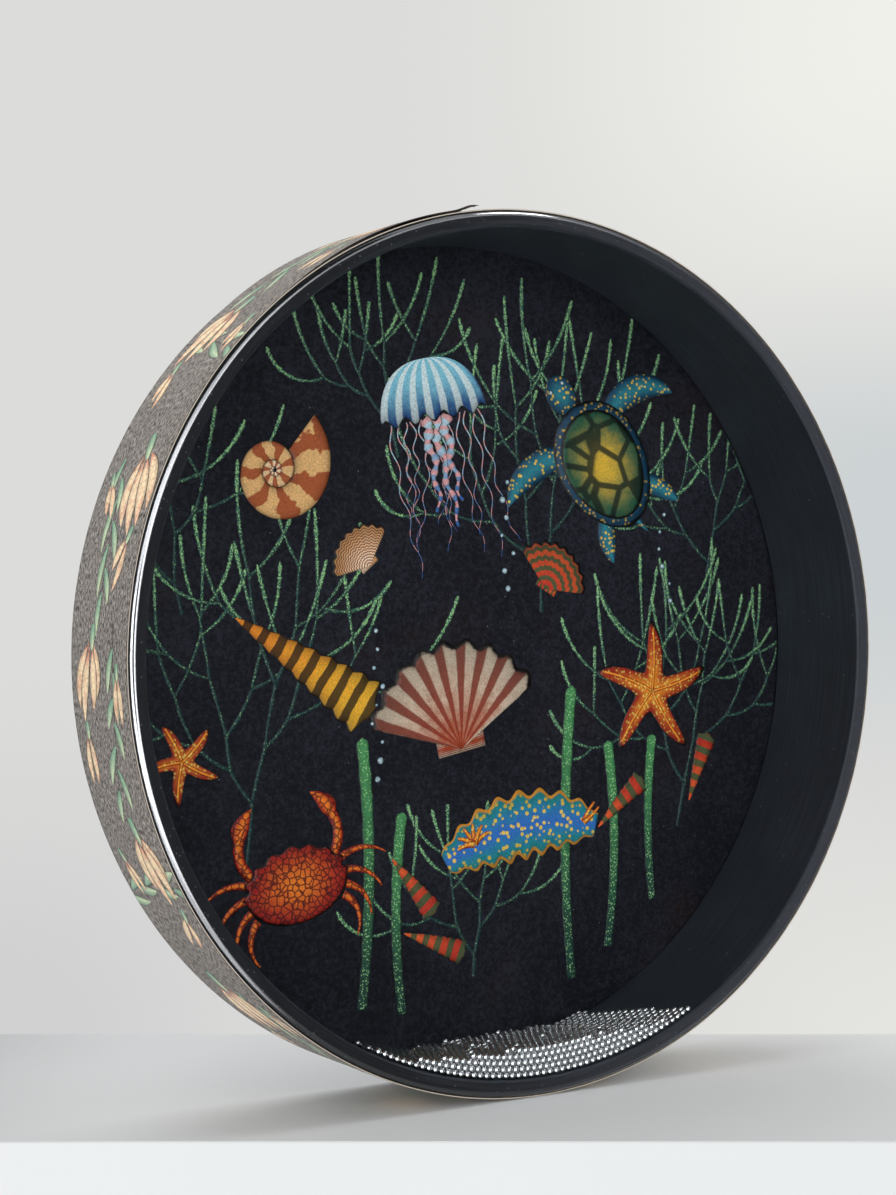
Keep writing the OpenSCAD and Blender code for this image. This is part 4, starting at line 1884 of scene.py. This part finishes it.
@dataclass(frozen=True)
class Studio:
    """A pale shelf in a pale room, lit softly, with a dark part where the clear head looks."""

    axis: tuple[float, float] = (0.52612, 0.85041)
    viewpoint: tuple[float, float] = (-0.5553, -0.8492)
    shelf: tuple[float, float] = (0.9074, 1.1288)
    shelf_half_length: float = 1.6
    shelf_thickness: float = 0.14
    wall: str = "#dcdcda"
    # Lighter and darker parts of the wall: painted light and shade on the backdrop
    painted_wall_light: tuple[WallLightPatch, ...] = (
        WallLightPatch("#d0d0d1", (-0.02, -0.2), (-0.02, -0.2)),
        WallLightPatch("#cdd2d4", (0.04, 0.2), (0.14, 0.02), middle=0.03),
        WallLightPatch("#eff0ea", (-0.04, 0.2), (0.06, 0.24)),
        WallLightPatch("#eff0ea", (0.06, 0.2), (-0.08, -0.2), 0.4),
    )
    room: str = "#e6e8ea"
    room_level: float = 0.8
    mirrored: tuple[Lobe, ...] = (
        Lobe((-0.69, -0.69, -0.21), 42, 54, -1.6),
        Lobe((-0.526, -0.85, 0.2), 33, 50, -2.4),
        Lobe((-0.526, -0.85, 0.0), 9, 15, 4.9),
        Lobe((0.526, -0.85, 0.0), 17, 27, 0.95),
        Lobe((0.97, 0.1, 0.1), 35, 60, 0.85),
        Lobe((-0.45, -0.4, 0.65), 32, 46, 1.5),
        Lobe((0.0, -0.2, 1.0), 30, 42, 0.4),
        Lobe((0.5, -0.25, 0.83), 3, 7, -22.0),
        Lobe((0.1, -0.35, -0.93), 38, 52, 0.85),
    )
    lamps: tuple[Lamp, ...] = (
        Lamp("window", (-1.7, -0.55, -0.05), (0.0, 0.0, 0.2), (0.9, 1.2), 1.7, "#fbfdff"),
        Lamp("ceiling", (0.0, 0.35, 1.9), (0.0, 0.0, 0.2), (1.6, 1.6), 1.9, "#ffffff", False),
        Lamp("right_wall", (1.6, -0.1, 0.5), (0.0, 0.0, 0.2), (0.6, 1.0), 4.2, "#fffdf8", False),
        Lamp("front_wall", (-0.4, -2.0, 0.7), (0.0, 0.0, 0.1), (1.4, 1.4), 1.7, "#fffefb", False),
    )

    def floor(self) -> None:
        """Makes the shelf: a box whose long edges are square to the line of sight."""
        ahead = np.array([*self.axis, 0.0])
        along = np.array([self.axis[1], -self.axis[0], 0.0])
        eye = np.array([*self.viewpoint, 0.0])
        depth = np.array([self.shelf[0], self.shelf[1], self.shelf[1], self.shelf[0], self.shelf[0]])
        height = np.array([0.0, 0.0, -1.0, -1.0, 0.0]) * self.shelf_thickness
        section = eye + depth[:, None] * ahead + height[:, None] * [0, 0, 1]
        middle = section[:-1].mean(0) + 0 * section
        ends = np.array([-1, -1, 1, 1])[:, None, None] * self.shelf_half_length * along
        points = np.stack([middle, section, section, middle]) + ends
        surfaces = Surfaces("shelf")
        surfaces.add(points, np.zeros((1, 1, 2)), flip=True)
        shelf = surfaces.build(30)
        ShelfPaint().dress(shelf)
        shelf.visible_glossy = False

    def air(self) -> None:
        """Makes the room's light.

        The camera sees a pale wall, with light and shade painted in parts of it. Matt surfaces get an
        even light, and glossy ones mirror a room that has bright parts and dark parts where the clear
        head and the beads look.
        """
        world = bpy.data.worlds.new("room")
        bpy.context.scene.world = world
        world.use_nodes = True
        graph = Graph(world.node_tree)
        way = graph.node("TexCoord").outputs["Generated"]
        seen = graph.node("LightPath")
        dark: Number = 0.0
        for lobe in self.mirrored:
            dark = lobe.shade(graph, way) + dark
        level = (1 - dark * graph.term(seen, "Is Glossy Ray")).most(0.02) * self.room_level
        side = graph.towards(way, (self.axis[1], -self.axis[0], 0))
        height = graph.part(way, "Z")
        wall: Socket = paint(self.wall)
        # Painted light and shade on the wall, part by part
        for part in self.painted_wall_light:
            wall = graph.mix(part.share(side, height), wall, paint(part.colour))
        plain = graph.term(seen, "Is Camera Ray").most(graph.term(seen, "Is Transmission Ray"))
        colour = graph.mix(plain, graph.shaded(paint(self.room), level), wall)
        light = graph.node("Background", None, {"Color": colour, "Strength": 1.0})
        graph.node("OutputWorld", None, {"Surface": light.outputs[0]})

    def build(self) -> None:
        """Makes the shelf, the room and the lamps."""
        self.floor()
        self.air()
        for lamp in self.lamps:
            lamp.build()


def main() -> None:
    """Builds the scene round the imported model."""
    logging.basicConfig(level=logging.INFO, format="%(message)s")
    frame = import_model()
    bpy.context.scene.view_settings.view_transform = "Standard"
    Viewpoint().build()
    Studio().build()
    Shell().build(frame["nodes"])
    Wrap().build()
    film = FilmPrint()
    film.compose()
    film.build()
    BeadCharge().build()


if __name__ == "__main__":
    main()
